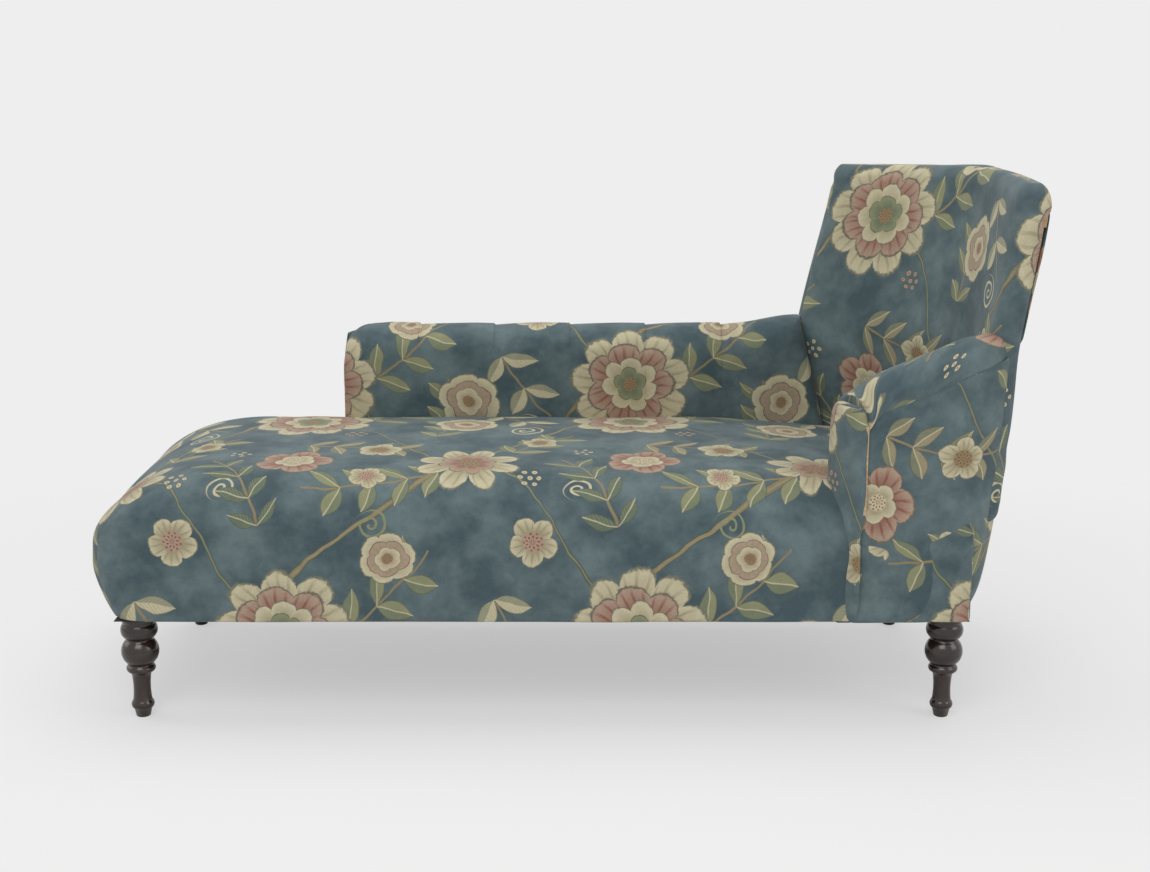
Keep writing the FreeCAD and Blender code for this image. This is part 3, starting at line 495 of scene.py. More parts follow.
def colour_and_relief(tree, shader, colour, height, distance, strength):
    """Feed a shader with its colour and with a bump of a height reading."""
    put(tree, shader.inputs["Base Color"], colour)
    node = add_node(tree, "ShaderNodeBump", {"Distance": distance, "Strength": strength,
                                             "Height": height})
    tree.links.new(node.outputs["Normal"], shader.inputs["Normal"])


# The printed cloth

OUTLINE_WANDER = 0.028  # how far the printed outlines stray, in metres
EDGE_SOFTNESS = 0.0012  # soft edge of the printed forms
LEAF_LEAN = math.radians(52.0)


class Print:
    """Paints generic flowers, leaves and branches in a repeat on the fabric coordinates."""

    FEEDS = (("where", "Vector"), ("paint", "Color"), ("fray", "Float"), ("clouds", "Float"))

    def __init__(self, tree, cloth):
        self.tree = tree
        self.cloth = cloth
        self.half = (cloth.repeat_across / 2, cloth.repeat_along / 2, 1.0)
        uv = add_node(tree, "ShaderNodeUVMap", uv_map="fabric")
        self.flat = Reading(tree, uv.outputs["UV"])
        wander = add_node(tree, "ShaderNodeTexNoise", {"Vector": self.flat, "Scale": 11.0,
                                                       "Detail": 2.0})
        stray = Reading(tree, wander.outputs["Color"])
        stray = vector_math(tree, "SUBTRACT", stray, (0.5, 0.5, 0.5))
        stray = vector_math(tree, "MULTIPLY", stray, (OUTLINE_WANDER, OUTLINE_WANDER, 0.0))
        self.where = vector_math(tree, "ADD", self.flat, stray)
        self.fray = (speckle(tree, self.flat, 150.0) - 0.5) * 0.10
        self.clouds = speckle(tree, self.flat, 9.0, detail=4.0, rough=0.6)
        self.paint = self.mix("ground", "ground_light", self.clouds.over(0.52, 0.26))

    def motif(self, kind, *values):
        """Put one motif in a node group of its own, after the ones that are there."""
        outer = self.tree
        feeds = {name: getattr(self, name) for name, _ in self.FEEDS}
        group = bpy.data.node_groups.new("Print " + kind, "ShaderNodeTree")
        for name, socket in self.FEEDS:
            add_socket(group, name.capitalize(), socket)
        add_socket(group, "Paint", "Color", "OUTPUT")
        source = add_node(group, "NodeGroupInput")
        result = add_node(group, "NodeGroupOutput")
        self.tree = group
        for index, name in enumerate(feeds):
            setattr(self, name, Reading(group, source.outputs[index]))
        getattr(self, kind)(*values)
        put(group, result.inputs[0], self.paint)
        self.tree = outer
        for name, feed in feeds.items():
            setattr(self, name, feed)
        node = add_node(outer, "ShaderNodeGroup", node_tree=group)
        for socket, feed in zip(node.inputs, feeds.values()):
            put(outer, socket, feed)
        self.paint = Reading(outer, node.outputs[0])

    def mix(self, first, second, share):
        """Blend of two paints, each a reading or the name of a colour of the cloth."""
        first, second = (tuple(getattr(self.cloth, c)) if isinstance(c, str) else c
                         for c in (first, second))
        return blend_colours(self.tree, first, second, share)

    def lay(self, colour, mask):
        """Print a colour over what is there, where the mask is 1."""
        self.paint = self.mix(self.paint, colour, mask)

    def local(self, place, turn):
        """Coordinates round one motif, joined up over the repeat's edges."""
        moved = vector_math(self.tree, "SUBTRACT", self.where, (*place, 0.0))
        wrapped = vector_math(self.tree, "WRAP", moved, self.half, tuple(-h for h in self.half))
        if turn:
            node = add_node(self.tree, "ShaderNodeVectorRotate", rotation_type="Z_AXIS")
            put(self.tree, node.inputs["Vector"], wrapped)
            node.inputs["Angle"].default_value = math.radians(-turn)
            wrapped = Reading(self.tree, node.outputs[0])
        return components(self.tree, wrapped)[:2]

    def polar(self, place, turn=0.0):
        """Angle and distance round one motif."""
        x, y = self.local(place, turn)
        return y.math("ARCTAN2", x), (x * x + y * y).math("SQRT")

    def petals(self, angle, reach, radius, count, phase, light, dark, depth, veins):
        """One tier of rounded petals, darker towards its heart, with a fine outline."""
        lobes = (angle * (count / 2) + phase).math("COSINE").math("ABSOLUTE").math("POWER", 0.55)
        edge = lobes.math("MULTIPLY_ADD", radius * depth, radius * (1 - depth))
        q = reach / edge + self.fray
        shade = q.over(0.62, 0.55)
        if veins:
            lines = (angle * (count * 3.5) + phase).math("COSINE").over(0.62, 0.3)
            shade = shade * (lines * q.fade(0.86, 0.3)).math("MULTIPLY_ADD", -0.75, 1.0)
        tier = self.mix(dark, light, shade)
        tier = self.mix(tier, "outline", q.over(0.955, 0.03) * 0.8)
        self.lay(tier, q.fade(1.0, 0.03))

    def flower(self, place, radius, tiers, turn=0.0, heart="ochre"):
        """Tiers of petals round a dotted heart."""
        angle, reach = self.polar(place, turn)
        for index, (share, count, light, dark, depth, veins) in enumerate(tiers):
            self.petals(angle, reach, radius * share, count, index * 0.9, light, dark, depth, veins)
        seed = radius * tiers[-1][0] * 0.42
        self.lay(heart, reach.fade(seed, seed * 0.2))
        dots = (angle * 9.0).math("SINE") * (reach * (9.0 / seed)).math("SINE")
        self.lay("red", dots.over(0.35, 0.3) * reach.fade(seed * 0.9, seed * 0.2))

    def leaves(self, place, turn, length, leaf, width, pairs, colour, bend, stem=0.0022):
        """A spray: a bowed stem with pairs of pointed leaves folded up from it."""
        x, y = self.local(place, turn)
        y = y - x * x * bend
        side = y.math("ABSOLUTE")
        within = (x - length / 2).math("ABSOLUTE").fade(length / 2, 0.002)
        self.lay("ochre", side.fade(stem, EDGE_SOFTNESS) * within)
        pitch = length / pairs
        step = x.math("WRAP", pitch * 0.85, -pitch * 0.15)
        ahead = step * math.cos(LEAF_LEAN) + side * math.sin(LEAF_LEAN)
        across = side * math.cos(LEAF_LEAN) - step * math.sin(LEAF_LEAN)
        share = ahead / leaf
        reach = share * (share * -1.0 + 1.0) * (4.0 * width)
        away = across.math("ABSOLUTE")
        depth = reach - away
        ribs = (ahead * 900.0 - away * 900.0).math("SINE").over(0.2, 0.8)
        blade = self.mix(colour, "sand", ribs * 0.35)
        blade = self.mix(blade, "green_dark", across.over(0.0, 0.0015) * 0.55)
        blade = self.mix(blade, "outline", depth.fade(0.0016, 0.001) * 0.7)
        blade = self.mix(blade, "cream", away.fade(0.0011, 0.0008) * 0.8)
        self.lay(blade, depth.over(0.0, EDGE_SOFTNESS) * within)

    def branch(self, slant, start, swing, waves, width, colour="ochre"):
        """A branch that winds across the repeat and meets itself at the edges."""
        u, v, _ = components(self.tree, self.where)
        across, up = self.half[0] * 2, self.half[1] * 2
        turn = 2 * math.pi * waves / across
        wave = (u * turn + start * 9.0).math("SINE") * swing
        off = v - u * (slant * up / across) - wave - start
        off = off.math("WRAP", up / 2, -up / 2).math("ABSOLUTE")
        thick = (u * (turn * 2.0)).math("SINE").math("MULTIPLY_ADD", width * 0.3, width)
        depth = thick - off
        bark = self.mix(colour, "outline", self.clouds.over(0.5, 0.2) * 0.5)
        bark = self.mix(bark, "sand", off.fade(width * 0.35, width * 0.3) * 0.7)
        bark = self.mix(bark, "outline", depth.fade(0.0018, 0.001))
        self.lay(bark, depth.over(0.0, EDGE_SOFTNESS))

    def curl(self, place, turn, pitch, turns, width, colour="cream"):
        """A tendril wound in a flat spiral."""
        angle, reach = self.polar(place, turn)
        off = reach - angle * (pitch / (2 * math.pi))
        off = off.math("WRAP", pitch / 2, -pitch / 2).math("ABSOLUTE")
        self.lay(colour, off.fade(width, EDGE_SOFTNESS) * reach.fade(pitch * turns, 0.003))

    def berries(self, place, ring, berry, count, colour="cream"):
        """A ring of round berries with one in the middle."""
        sector = math.pi / count
        angle, reach = self.polar(place)
        around = angle.math("WRAP", sector, -sector) * ring
        out = reach - ring
        off = (out * out + around * around).math("SQRT").math("MINIMUM", reach)
        fruit = self.mix(colour, "outline", off.over(berry * 0.8, 0.001))
        fruit = self.mix(fruit, "red", off.fade(berry * 0.25, 0.0006))
        self.lay(fruit, off.fade(berry, 0.001))


# Tiers of a flower: share of its radius, petals, light colour, dark colour, depth of the lobes
# and whether it has veins
BIG = (
    (1.00, 9, "cream", "sand", 0.26, True),
    (0.74, 7, "pink", "red", 0.24, True),
    (0.50, 7, "cream", "sand", 0.30, False),
    (0.30, 5, "green", "green_dark", 0.30, False),
)
ROSE = (
    (1.00, 6, "cream", "sand", 0.16, False),
    (0.72, 5, "pink", "sand", 0.20, True),
    (0.45, 5, "cream", "pink", 0.20, False),
)
STAR = ((1.00, 8, "cream", "sand", 0.50, True), (0.55, 8, "pink", "red", 0.40, False))
BLOSSOM = ((1.00, 5, "cream", "sand", 0.34, True),)
BELL = ((1.00, 5, "pink", "red", 0.30, True), (0.55, 5, "cream", "sand", 0.30, False))

# One repeat, from the back to the front: each motif's kind, and the values its method asks for
MOTIFS = (
    ("branch", 1, 0.05, 0.045, 1, 0.0085),
    ("branch", -1, 0.33, 0.035, 2, 0.0060, "green_dark"),
    ("curl", (0.57, 0.06), 20.0, 0.016, 2.1, 0.0024),
    ("curl", (0.30, 0.36), 130.0, 0.015, 1.9, 0.0022, "green"),
    ("curl", (0.03, 0.43), 250.0, 0.014, 1.8, 0.0022),
    ("leaves", (0.26, 0.17), 35.0, 0.20, 0.074, 0.0165, 3, "green", 0.9),
    ("leaves", (0.42, 0.47), 200.0, 0.24, 0.066, 0.0150, 4, "green", -0.8),
    ("leaves", (0.52, 0.22), -65.0, 0.16, 0.070, 0.0170, 2, "cream", 1.2),
    ("leaves", (0.10, 0.36), 110.0, 0.21, 0.060, 0.0130, 4, "green_dark", 0.7),
    ("leaves", (0.55, 0.60), 60.0, 0.17, 0.064, 0.0160, 3, "green", -1.0),
    ("leaves", (0.16, 0.66), -20.0, 0.22, 0.062, 0.0140, 4, "sand", 0.8),
    ("leaves", (0.40, 0.02), 80.0, 0.15, 0.058, 0.0150, 3, "green", 0.6),
    ("flower", (0.14, 0.16), 0.125, BIG, 12.0),
    ("flower", (0.47, 0.52), 0.098, STAR, 24.0),
    ("flower", (0.45, 0.12), 0.064, ROSE, 40.0),
    ("flower", (0.15, 0.54), 0.072, BELL, 70.0, "cream"),
    ("flower", (0.30, 0.62), 0.044, BLOSSOM, 10.0),
    ("flower", (0.33, 0.30), 0.050, ROSE, 80.0),
    ("flower", (0.59, 0.33), 0.046, BLOSSOM, 50.0, "pink"),
    ("flower", (0.60, 0.68), 0.038, BLOSSOM, 30.0),
    ("flower", (0.29, 0.46), 0.034, BLOSSOM, 65.0, "pink"),
    ("berries", (0.58, 0.46), 0.018, 0.0062, 6),
    ("berries", (0.24, 0.04), 0.016, 0.0056, 6, "pink"),
    ("berries", (0.04, 0.60), 0.015, 0.0052, 5),
)


def linen_material():
    """Printed linen, made once and shared by every covered piece."""
    name = "printed_linen_cloth"
    if name in bpy.data.materials:
        return bpy.data.materials[name]
    material, tree, shader = new_material(name, {
        "Roughness": 0.86, "Specular IOR Level": 0.22, "Sheen Weight": 0.12,
        "Sheen Roughness": 0.5})
    pattern = Print(tree, bpy.context.scene.chaise_cloth)
    for kind, *values in MOTIFS:
        pattern.motif(kind, *values)
    warp = speckle(tree, pattern.flat, 1.0, rough=0.6, stretch=(1300.0, 70.0, 1.0))
    weft = speckle(tree, pattern.flat, 1.0, rough=0.6, stretch=(70.0, 1300.0, 1.0))
    threads = warp + weft
    worn = speckle(tree, pattern.flat, 42.0, detail=4.0, rough=0.65)
    shade = threads.math("MULTIPLY_ADD", 0.42, 0.58) * worn.math("MULTIPLY_ADD", 0.36, 0.82)
    grey = add_node(tree, "ShaderNodeCombineColor", enumerate((shade, shade, shade)))
    colour = blend_colours(tree, pattern.paint, Reading(tree, grey.outputs[0]), 1.0, "MULTIPLY")
    height = threads * 0.5 + worn * 0.5
    colour_and_relief(tree, shader, colour, height, distance=0.0012, strength=0.35)
    return material


# Seat

SIDE_HEIGHTS = (0.1985, 0.205, 0.222, 0.243, 0.268, 0.292, 0.312)
BULGE_Z, BULGE_RUN = 0.330, 0.040  # the foot end reaches furthest here and draws in below it
FALL_RISE, FALL_RUN, FALL_LEVELS = 0.125, 0.240, 13  # quarter ellipse of the long fall
SHOULDER_Z, SHOULDER_RADIUS = 0.360, 0.095  # rounding of the near and far edges of the top
SEAT_CORNER = 0.070
TOP_FOOT_X, TOP_HEAD_X, TOP_HALF_DEPTH = -0.615, 0.735, 0.230  # the seat's even top
SEAT_SINK = 0.030  # the seat sinks towards the head end, where it meets the tall back


def seat_levels():
    """Height, foot end and side reach of each level, from the underside to the top."""
    levels = []
    for z in SIDE_HEIGHTS:
        fall = (BULGE_Z - z) / (BULGE_Z - UNDERSIDE)
        levels.append((z, FOOT_X + BULGE_RUN * fall * fall, HALF_DEPTH))
    for share in np.linspace(0.0, 0.97, FALL_LEVELS):
        turn = share * math.pi / 2
        z = BULGE_Z + FALL_RISE * math.sin(turn)
        rise = limited((z - SHOULDER_Z) / SHOULDER_RADIUS)
        side = HALF_DEPTH - SHOULDER_RADIUS * (1 - math.sqrt(1 - rise * rise))
        levels.append((z, FOOT_X + FALL_RUN * (1 - math.cos(turn)), side))
    return levels


def seat_wall_point(x, y, foot, side):
    """Plan point of a level that belongs to a point on the rim of the top."""
    radius = min(SEAT_CORNER, side * 0.6)
    px = foot + (x - TOP_FOOT_X) / (TOP_HEAD_X - TOP_FOOT_X) * (TOP_HEAD_X - foot)
    py = y / TOP_HALF_DEPTH * side
    dx = foot + radius - px
    dy = abs(py) - (side - radius)
    if dx > 0 and dy > 0:
        # Corner points slide round the arc instead of meeting in a sharp corner.
        length = math.hypot(dx, dy)
        px = foot + radius - dx / length * radius
        py = math.copysign(side - radius + dy / length * radius, py)
    return px, py


def build_seat():
    """Tight seat with rounded shoulders, a long fall at the foot and sides down to the base."""
    form = bpy.context.scene.chaise_form
    levels = seat_levels()
    columns = int(round((TOP_HEAD_X - TOP_FOOT_X) / (form.spacing * 1.1)))
    rows = int(round(2 * TOP_HALF_DEPTH / form.spacing))
    top_x = np.linspace(TOP_FOOT_X, TOP_HEAD_X, columns + 1)
    top_y = np.linspace(-TOP_HALF_DEPTH, TOP_HALF_DEPTH, rows + 1)
    # Rim of the top, with the number of its side: near, head, far and foot
    rim = [(x, top_y[0], 0) for x in top_x]
    rim += [(top_x[-1], y, 1) for y in top_y[1:]]
    rim += [(x, top_y[-1], 2) for x in top_x[-2::-1]]
    rim += [(top_x[0], y, 3) for y in top_y[-2:0:-1]]
    count = len(rim)
    points = []
    for z, foot, side in levels:
        points += [(*seat_wall_point(x, y, foot, side), z) for x, y, _ in rim]
    # Length of cloth from the top down to each level, at the sides and at the foot
    drop_side = [0.0]
    drop_foot = [0.0]
    for (z0, foot0, side0), (z1, foot1, side1) in zip(levels[::-1], levels[-2::-1]):
        drop_side.append(drop_side[-1] + math.hypot(z1 - z0, side1 - side0))
        drop_foot.append(drop_foot[-1] + math.hypot(z1 - z0, foot1 - foot0))
    drop_side.reverse()
    drop_foot.reverse()

    def wall_uv(level, k, side):
        x, y, _ = points[level * count + k]
        top = points[(len(levels) - 1) * count + k]
        if side in (0, 2):
            return x, top[1] + (side - 1) * drop_side[level]
        return top[0] + (drop_side[level] if side == 1 else -drop_foot[level]), y

    faces = []
    uvs = []
    for level in range(len(levels) - 1):
        for k in range(count):
            side = rim[min(k + 1, count - 1)][2]
            j = (k + 1) % count
            corners = ((level, k), (level, j), (level + 1, j), (level + 1, k))
            faces.append(tuple(a * count + b for a, b in corners))
            uvs += [wall_uv(a, b, side) for a, b in corners]
    for level in (0, len(levels) - 1):
        z = levels[level][0]
        base = level * count
        ids = {(i, 0): base + i for i in range(columns + 1)}
        ids.update({(columns, j): base + columns + j for j in range(rows + 1)})
        ids.update({(i, rows): base + 2 * columns + rows - i for i in range(columns + 1)})
        ids.update({(0, j): base + count - j for j in range(1, rows)})
        for i in range(1, columns):
            for j in range(1, rows):
                start, end = points[ids[0, j]], points[ids[columns, j]]
                near, far = points[ids[i, 0]], points[ids[i, rows]]
                s, t = i / columns, j / rows
                rise = 0.0
                if level:
                    rise = 0.0015 + form.crown * (1 - (2 * t - 1) ** 2) * smooth(s, 0.0, 0.2)
                ids[i, j] = len(points)
                points.append((start[0] + (end[0] - start[0]) * s,
                               near[1] + (far[1] - near[1]) * t, z + rise))
        for i in range(columns):
            for j in range(rows):
                face = tuple(ids[a] for a in ((i, j), (i + 1, j), (i + 1, j + 1), (i, j + 1)))
                faces.append(face)
                uvs += [points[m][:2] for m in face]
    points = [(x, y, z - SEAT_SINK * smooth(x, 0.25, 0.72) * smooth(z, 0.30, SEAT_TOP))
              for x, y, z in points]
    piece = new_mesh("seat_upholstery", points, faces, uvs)
    # Nailed down along the base and towards the tall back.
    fill_with_stuffing(piece, lambda p: p[2] < 0.30 or p[0] > 0.60)
    subdivide(piece, 2)
    ruffle(piece, height=0.0022, size=0.16, seed=3.0)
    return piece


# Low back

LOW_BACK_PANELS = 6
LOW_BACK_CORNER = 0.060  # turn of the foot end
LOW_BACK_FACE_Y = 0.225
LOW_BACK_INNER, LOW_BACK_OUTER = 0.046, 0.034  # rounding of the top, towards the seat and away
PANEL_JOIN = 0.0035  # half width of the fold between two panels
SEAM_TAIL = 0.014  # cloth tucked behind the tall back
LOW_BACK_SWEEP = 0.016  # rise of the top towards the tall back
PANEL_ROUND = 0.0015  # rise of each panel's middle
SLICES = 7  # slices across one panel


def low_back_ring(drop, pull, spacing):
    """Upright slice of the low back, from the foot of its inner face over the top."""
    top = LOW_BACK_TOP - drop
    y0 = LOW_BACK_FACE_Y + pull
    y1 = HALF_DEPTH
    face = spaced([(y0, PAD_FOOT), (y0, top - LOW_BACK_INNER)], spacing)
    over = arc_points((y0 + LOW_BACK_INNER, top - LOW_BACK_INNER), LOW_BACK_INNER, 180, 90)
    over += arc_points((y1 - LOW_BACK_OUTER, top - LOW_BACK_OUTER), LOW_BACK_OUTER, 90, 0)
    over = spaced(over, 0.0115, 11)
    # Below the edge of the outside panel the slice steps in behind the panel.
    inner = y1 - 0.0075
    down = spaced([(y1, top - LOW_BACK_OUTER), (y1, 0.634), (inner, 0.628), (inner, PAD_FOOT)],
                  spacing)
    return np.concatenate([face, over[1:], down[1:]])


def low_back_stations(step):
    """Place, drop of the top and pull of the face at each slice; step is the folds' height."""
    width = (LOW_BACK_HEAD - LOW_BACK_FOOT) / LOW_BACK_PANELS
    stations = []
    for turn in np.radians(np.linspace(4.0, 78.0, 6)):
        stations.append((LOW_BACK_FOOT + LOW_BACK_CORNER * (1 - math.cos(turn)),
                         LOW_BACK_CORNER * (1 - math.sin(turn)) + step * 0.6, step))
    for panel in range(LOW_BACK_PANELS):
        last = panel == LOW_BACK_PANELS - 1
        start = LOW_BACK_FOOT + width * panel
        first = start + PANEL_JOIN if panel else LOW_BACK_FOOT + LOW_BACK_CORNER
        end = start + width - PANEL_JOIN + (SEAM_TAIL if last else 0.0)
        for x in np.linspace(first, end, SLICES):
            share = (x - start) / width
            drop = step * (1 - share) - PANEL_ROUND * math.sin(math.pi * share)
            pull = step * 0.8 * (1 - math.sin(math.pi * limited(share)))
            stations.append((x, drop, pull))
        if not last:
            edge = start + width
            stations += [(edge - 0.0005, 0.0002, step * 0.9),
                         (edge + 0.0008, step * 1.25, step * 1.1)]
    return stations


def build_low_back():
    """Six padded panels with a small fold over the top at each join."""
    form = bpy.context.scene.chaise_form
    stations = low_back_stations(form.fold_step)
    slices = []
    for x, drop, pull in stations:
        sweep = LOW_BACK_SWEEP * smooth(x, 0.360, LOW_BACK_HEAD)
        slices.append(low_back_ring(drop - sweep, pull, form.spacing))
    least = min(len(ring) for ring in slices)
    rings = []
    us = []
    vs = []
    for (x, _, _), ring in zip(stations, slices):
        if len(ring) != least:
            lengths = running(ring)
            wanted = np.interp(np.linspace(0, 1, least), np.linspace(0, 1, len(ring)), lengths)
            ring = np.stack([np.interp(wanted, lengths, ring[:, i]) for i in (0, 1)], axis=1)
        slant = SEAM_SLANT * smooth(x, 0.330, LOW_BACK_HEAD)
        points = [(x + slant * max(0.0, LOW_BACK_TOP - z), y, z) for y, z in ring]
        rings.append(points)
        us.append(place_row([p[0] for p in points]))
        vs.append(run_row(ring, 0.09))
    piece = tube_piece("low_back_upholstery", rings, us, vs, lambda p: (p[1] + 0.3, p[2]))
    # Nailed down behind the seat, on its outer face and at the tall back.
    fill_with_stuffing(piece, lambda p: p[2] < 0.46 or p[1] > 0.312 or p[0] > 0.46)
    subdivide(piece, 2)
    ruffle(piece, height=0.0012, size=0.09, seed=8.0)
    return piece


# Tall back

TALL_BACK_POINTS = 46  # points of a ring on each side of the pad
TALL_BACK_NEAR_Y = -0.285
TALL_BACK_NOSE = 0.012  # rounding of the wing's edge
TALL_BACK_LEAN = math.radians(22.0)
CREST_Z, CREST_RISE = 0.950, 0.038
CREST_RADIUS = 0.028


def wing_share(z):
    """0 at the low back's top and 1 where the wing meets the crest."""
    return limited((z - LOW_BACK_TOP) / WING_RISE)


def back_path(z, outer, inner, end):
    """Plan of the tall back at one height: its inner face, near end and outer face.

    The three distances draw in the outer face, the inner face and the ends.
    """
    wing = wing_share(z)
    inner_x = 0.725 + 0.070 * limited((z - SEAT_TOP) / 0.495)
    wing_x = 0.4855 + WING_RUN * wing + SEAM_SLANT * max(0.0, LOW_BACK_TOP - z)
    wing_y = 0.240 + 0.022 * min(1.0, wing * 2)
    radius = (inner_x - wing_x - TALL_BACK_NOSE) / (1 - math.sin(TALL_BACK_LEAN))
    centre = (inner_x - radius, wing_y - radius * math.cos(TALL_BACK_LEAN))
    reach = radius + inner
    edge = wing_x + TALL_BACK_NOSE + end
    start = math.degrees(math.acos(min(1.0, (edge - centre[0]) / reach)))
    inside = arc_points(centre, reach, start, 0, 24)
    face_x = inside[-1][0]
    back_x = along(HEAD_PROFILE, z) - outer
    far_radius = along(HEAD_PROFILE, z, 2)
    far_y = HALF_DEPTH - outer
    near_y = TALL_BACK_NEAR_Y + end
    r = min(CREST_RADIUS, 0.45 * (back_x - face_x))
    tip_x = edge - TALL_BACK_NOSE * 0.7
    tip_y = (far_y + inside[0][1]) / 2
    inner_side = [(tip_x, tip_y - 0.012)] + inside + [(face_x, near_y + r)]
    inner_side += arc_points((face_x + r, near_y + r), r, 180, 270, 6)[1:]
    middle = ((inner_side[-1][0] + back_x - r) / 2, near_y)
    inner_side.append(middle)
    outer_side = [middle] + arc_points((back_x - r, near_y + r), r, 270, 360, 6)
    outer_side += arc_points((along(HEAD_PROFILE, z) - far_radius, HALF_DEPTH - far_radius),
                             far_radius - outer, 0, 90, 14)
    outer_side += [(edge, far_y), (tip_x, tip_y + 0.012)]
    return inner_side, outer_side


def tall_back_levels():
    """Height and the three distances of back_path, up the pad and over its crest."""
    heights = [0.372, 0.395, 0.42, 0.445, 0.47]
    heights += [round(0.50 + 0.03 * k, 2) for k in range(13)] + [0.885, 0.908]
    levels = [(z, 0.0030, 0.0, 0.0) for z in heights]
    levels += [(0.921, 0.0022, 0.0, 0.0), (0.929, -0.0035, 0.0, 0.0), (0.941, -0.005, 0.0, 0.0)]
    for share in (0.2, 0.42, 0.62, 0.78, 0.89, 0.96):
        drawn = CREST_RADIUS * (1 - math.sqrt(1 - share * share))
        levels.append((CREST_Z + CREST_RISE * share, drawn - 0.002 * (1 - share), drawn,
                       drawn * 0.8))
    return levels


def build_tall_back():
    """Tub back: a bowed inner face that runs over the crest, with a roll at its outer edge."""
    rings = []
    us = []
    vs = []
    for z, outer, inner, end in tall_back_levels():
        inside, outside = back_path(z, outer, inner, end)
        plan = np.concatenate([resample(inside, TALL_BACK_POINTS),
                               resample(outside, TALL_BACK_POINTS + 1)[1:]])
        lower = 0.006 * smooth(z, 0.90, 0.99)
        ring = []
        for x, y in plan:
            # The crest is highest at its middle and eases down to both ends.
            dip = lower * (1.3 * smooth(y, 0.10, HALF_DEPTH)
                           + 1.2 * smooth(-y, 0.12, -TALL_BACK_NEAR_Y))
            ring.append((x, y, z - dip))
        rings.append(ring)
        us.append(run_row(plan, 0.03))
        vs.append(place_row([z] * len(plan)))
    piece = tube_piece("tall_back_upholstery", rings, us, vs,
                       lambda p: (p[0] + 0.1, p[1] + 0.6))
    # Nailed down behind the seat and along the wing's outer face, below the crest.
    fill_with_stuffing(piece, lambda p: p[2] < 0.45 or (p[2] < 0.93 and p[1] > 0.30))
    subdivide(piece, 2)
    ruffle(piece, height=0.0020, size=0.13, seed=13.0)
    return piece


# Arm

ARM_FRONT_X = 0.4905
ARM_CORNER_X, ARM_CORNER = 0.674, 0.132  # the roll turns round the head end's corner from here
ARM_STEM_Y = -0.262  # outer face of the stem, under the roll
ROLL_DEPTH = 0.124


def arm_ring(x, spacing):
    """Upright slice of the arm: its inside face, the roll and the underside of the roll."""
    top = along(ARM_RIDGE, x)
    swing = max(0.0, x - ARM_CORNER_X)
    inward = ARM_CORNER - math.sqrt(ARM_CORNER ** 2 - swing * swing)
    outer_y = min(ARM_OUTER_Y + inward, ARM_INNER_Y - 0.012)
    scale = min(1.0, (ARM_INNER_Y - outer_y) / ROLL_DEPTH)
    inside = spaced([(ARM_INNER_Y, PAD_FOOT), (ARM_INNER_Y, top - ROLL_INNER[0][1])], spacing)
    over = [(ARM_INNER_Y - y * scale, top - drop) for y, drop in ROLL_INNER]
    over.append(((ARM_INNER_Y + outer_y) / 2 + 0.004 * scale, top))
    over += [(outer_y + y * scale, top - drop) for y, drop in ROLL_OUTER]
    crease, low = over[-1]
    stem = max(ARM_STEM_Y, crease + 0.004) if scale < 1 else ARM_STEM_Y
    stem = min(stem, ARM_INNER_Y - 0.004)
    under = [(crease, low), ((crease + stem) / 2, low), (stem, low), (stem, PAD_FOOT)]
    return np.concatenate([resample(inside, 12), resample(over, 15)[1:],
                           resample(under, 12)[1:]])


def build_arm():
    """Short arm whose roll turns out over the side and rises round the corner to the back."""
    form = bpy.context.scene.chaise_form
    places = [ARM_FRONT_X, 0.496, *np.linspace(0.510, 0.690, 9)]
    places += [0.712, 0.733, 0.752, 0.768, 0.781, 0.791, 0.798]
    rings = []
    us = []
    vs = []
    for x in places:
        ring = arm_ring(x, form.spacing)
        # The facing is slanted, so the arm starts further back on its outer side.
        points = []
        for y, z in ring:
            start = ARM_FRONT_X + 0.43 * max(0.0, ARM_INNER_Y - y) * smooth(0.56 - x, 0.0, 0.07)
            points.append((max(x, start + (x - ARM_FRONT_X)), y, z))
        rings.append(points)
        us.append(place_row([p[0] for p in points]))
        vs.append(run_row(ring, 0.03, 0.9))
    piece = tube_piece("arm_upholstery", rings, us, vs, lambda p: (p[1], p[2]))
    # Nailed down behind the seat and at the tall back.
    fill_with_stuffing(piece, lambda p: p[2] < 0.50 or p[0] > 0.77)
    subdivide(piece, 2)
    ruffle(piece, height=0.0014, size=0.08, seed=21.0)
    return piece


FACING_START = (0.477, -0.238)
FACING_RUN = (0.043, -0.104)  # from the facing's inner edge to its outer edge
FACING_NARROW_Z, FACING_NARROW_Y = 0.392, -0.3185  # below this height it keeps outside this line
FACING_OUTER_Y = -0.3440


def facing_point(share, depth):
    """Plan point on the slanted facing, at a share of its front and a depth behind it."""
    (x, y), (dx, dy) = FACING_START, FACING_RUN
    length = math.hypot(dx, dy)
    return x + dx * share - dy / length * depth, y + dy * share + dx / length * depth


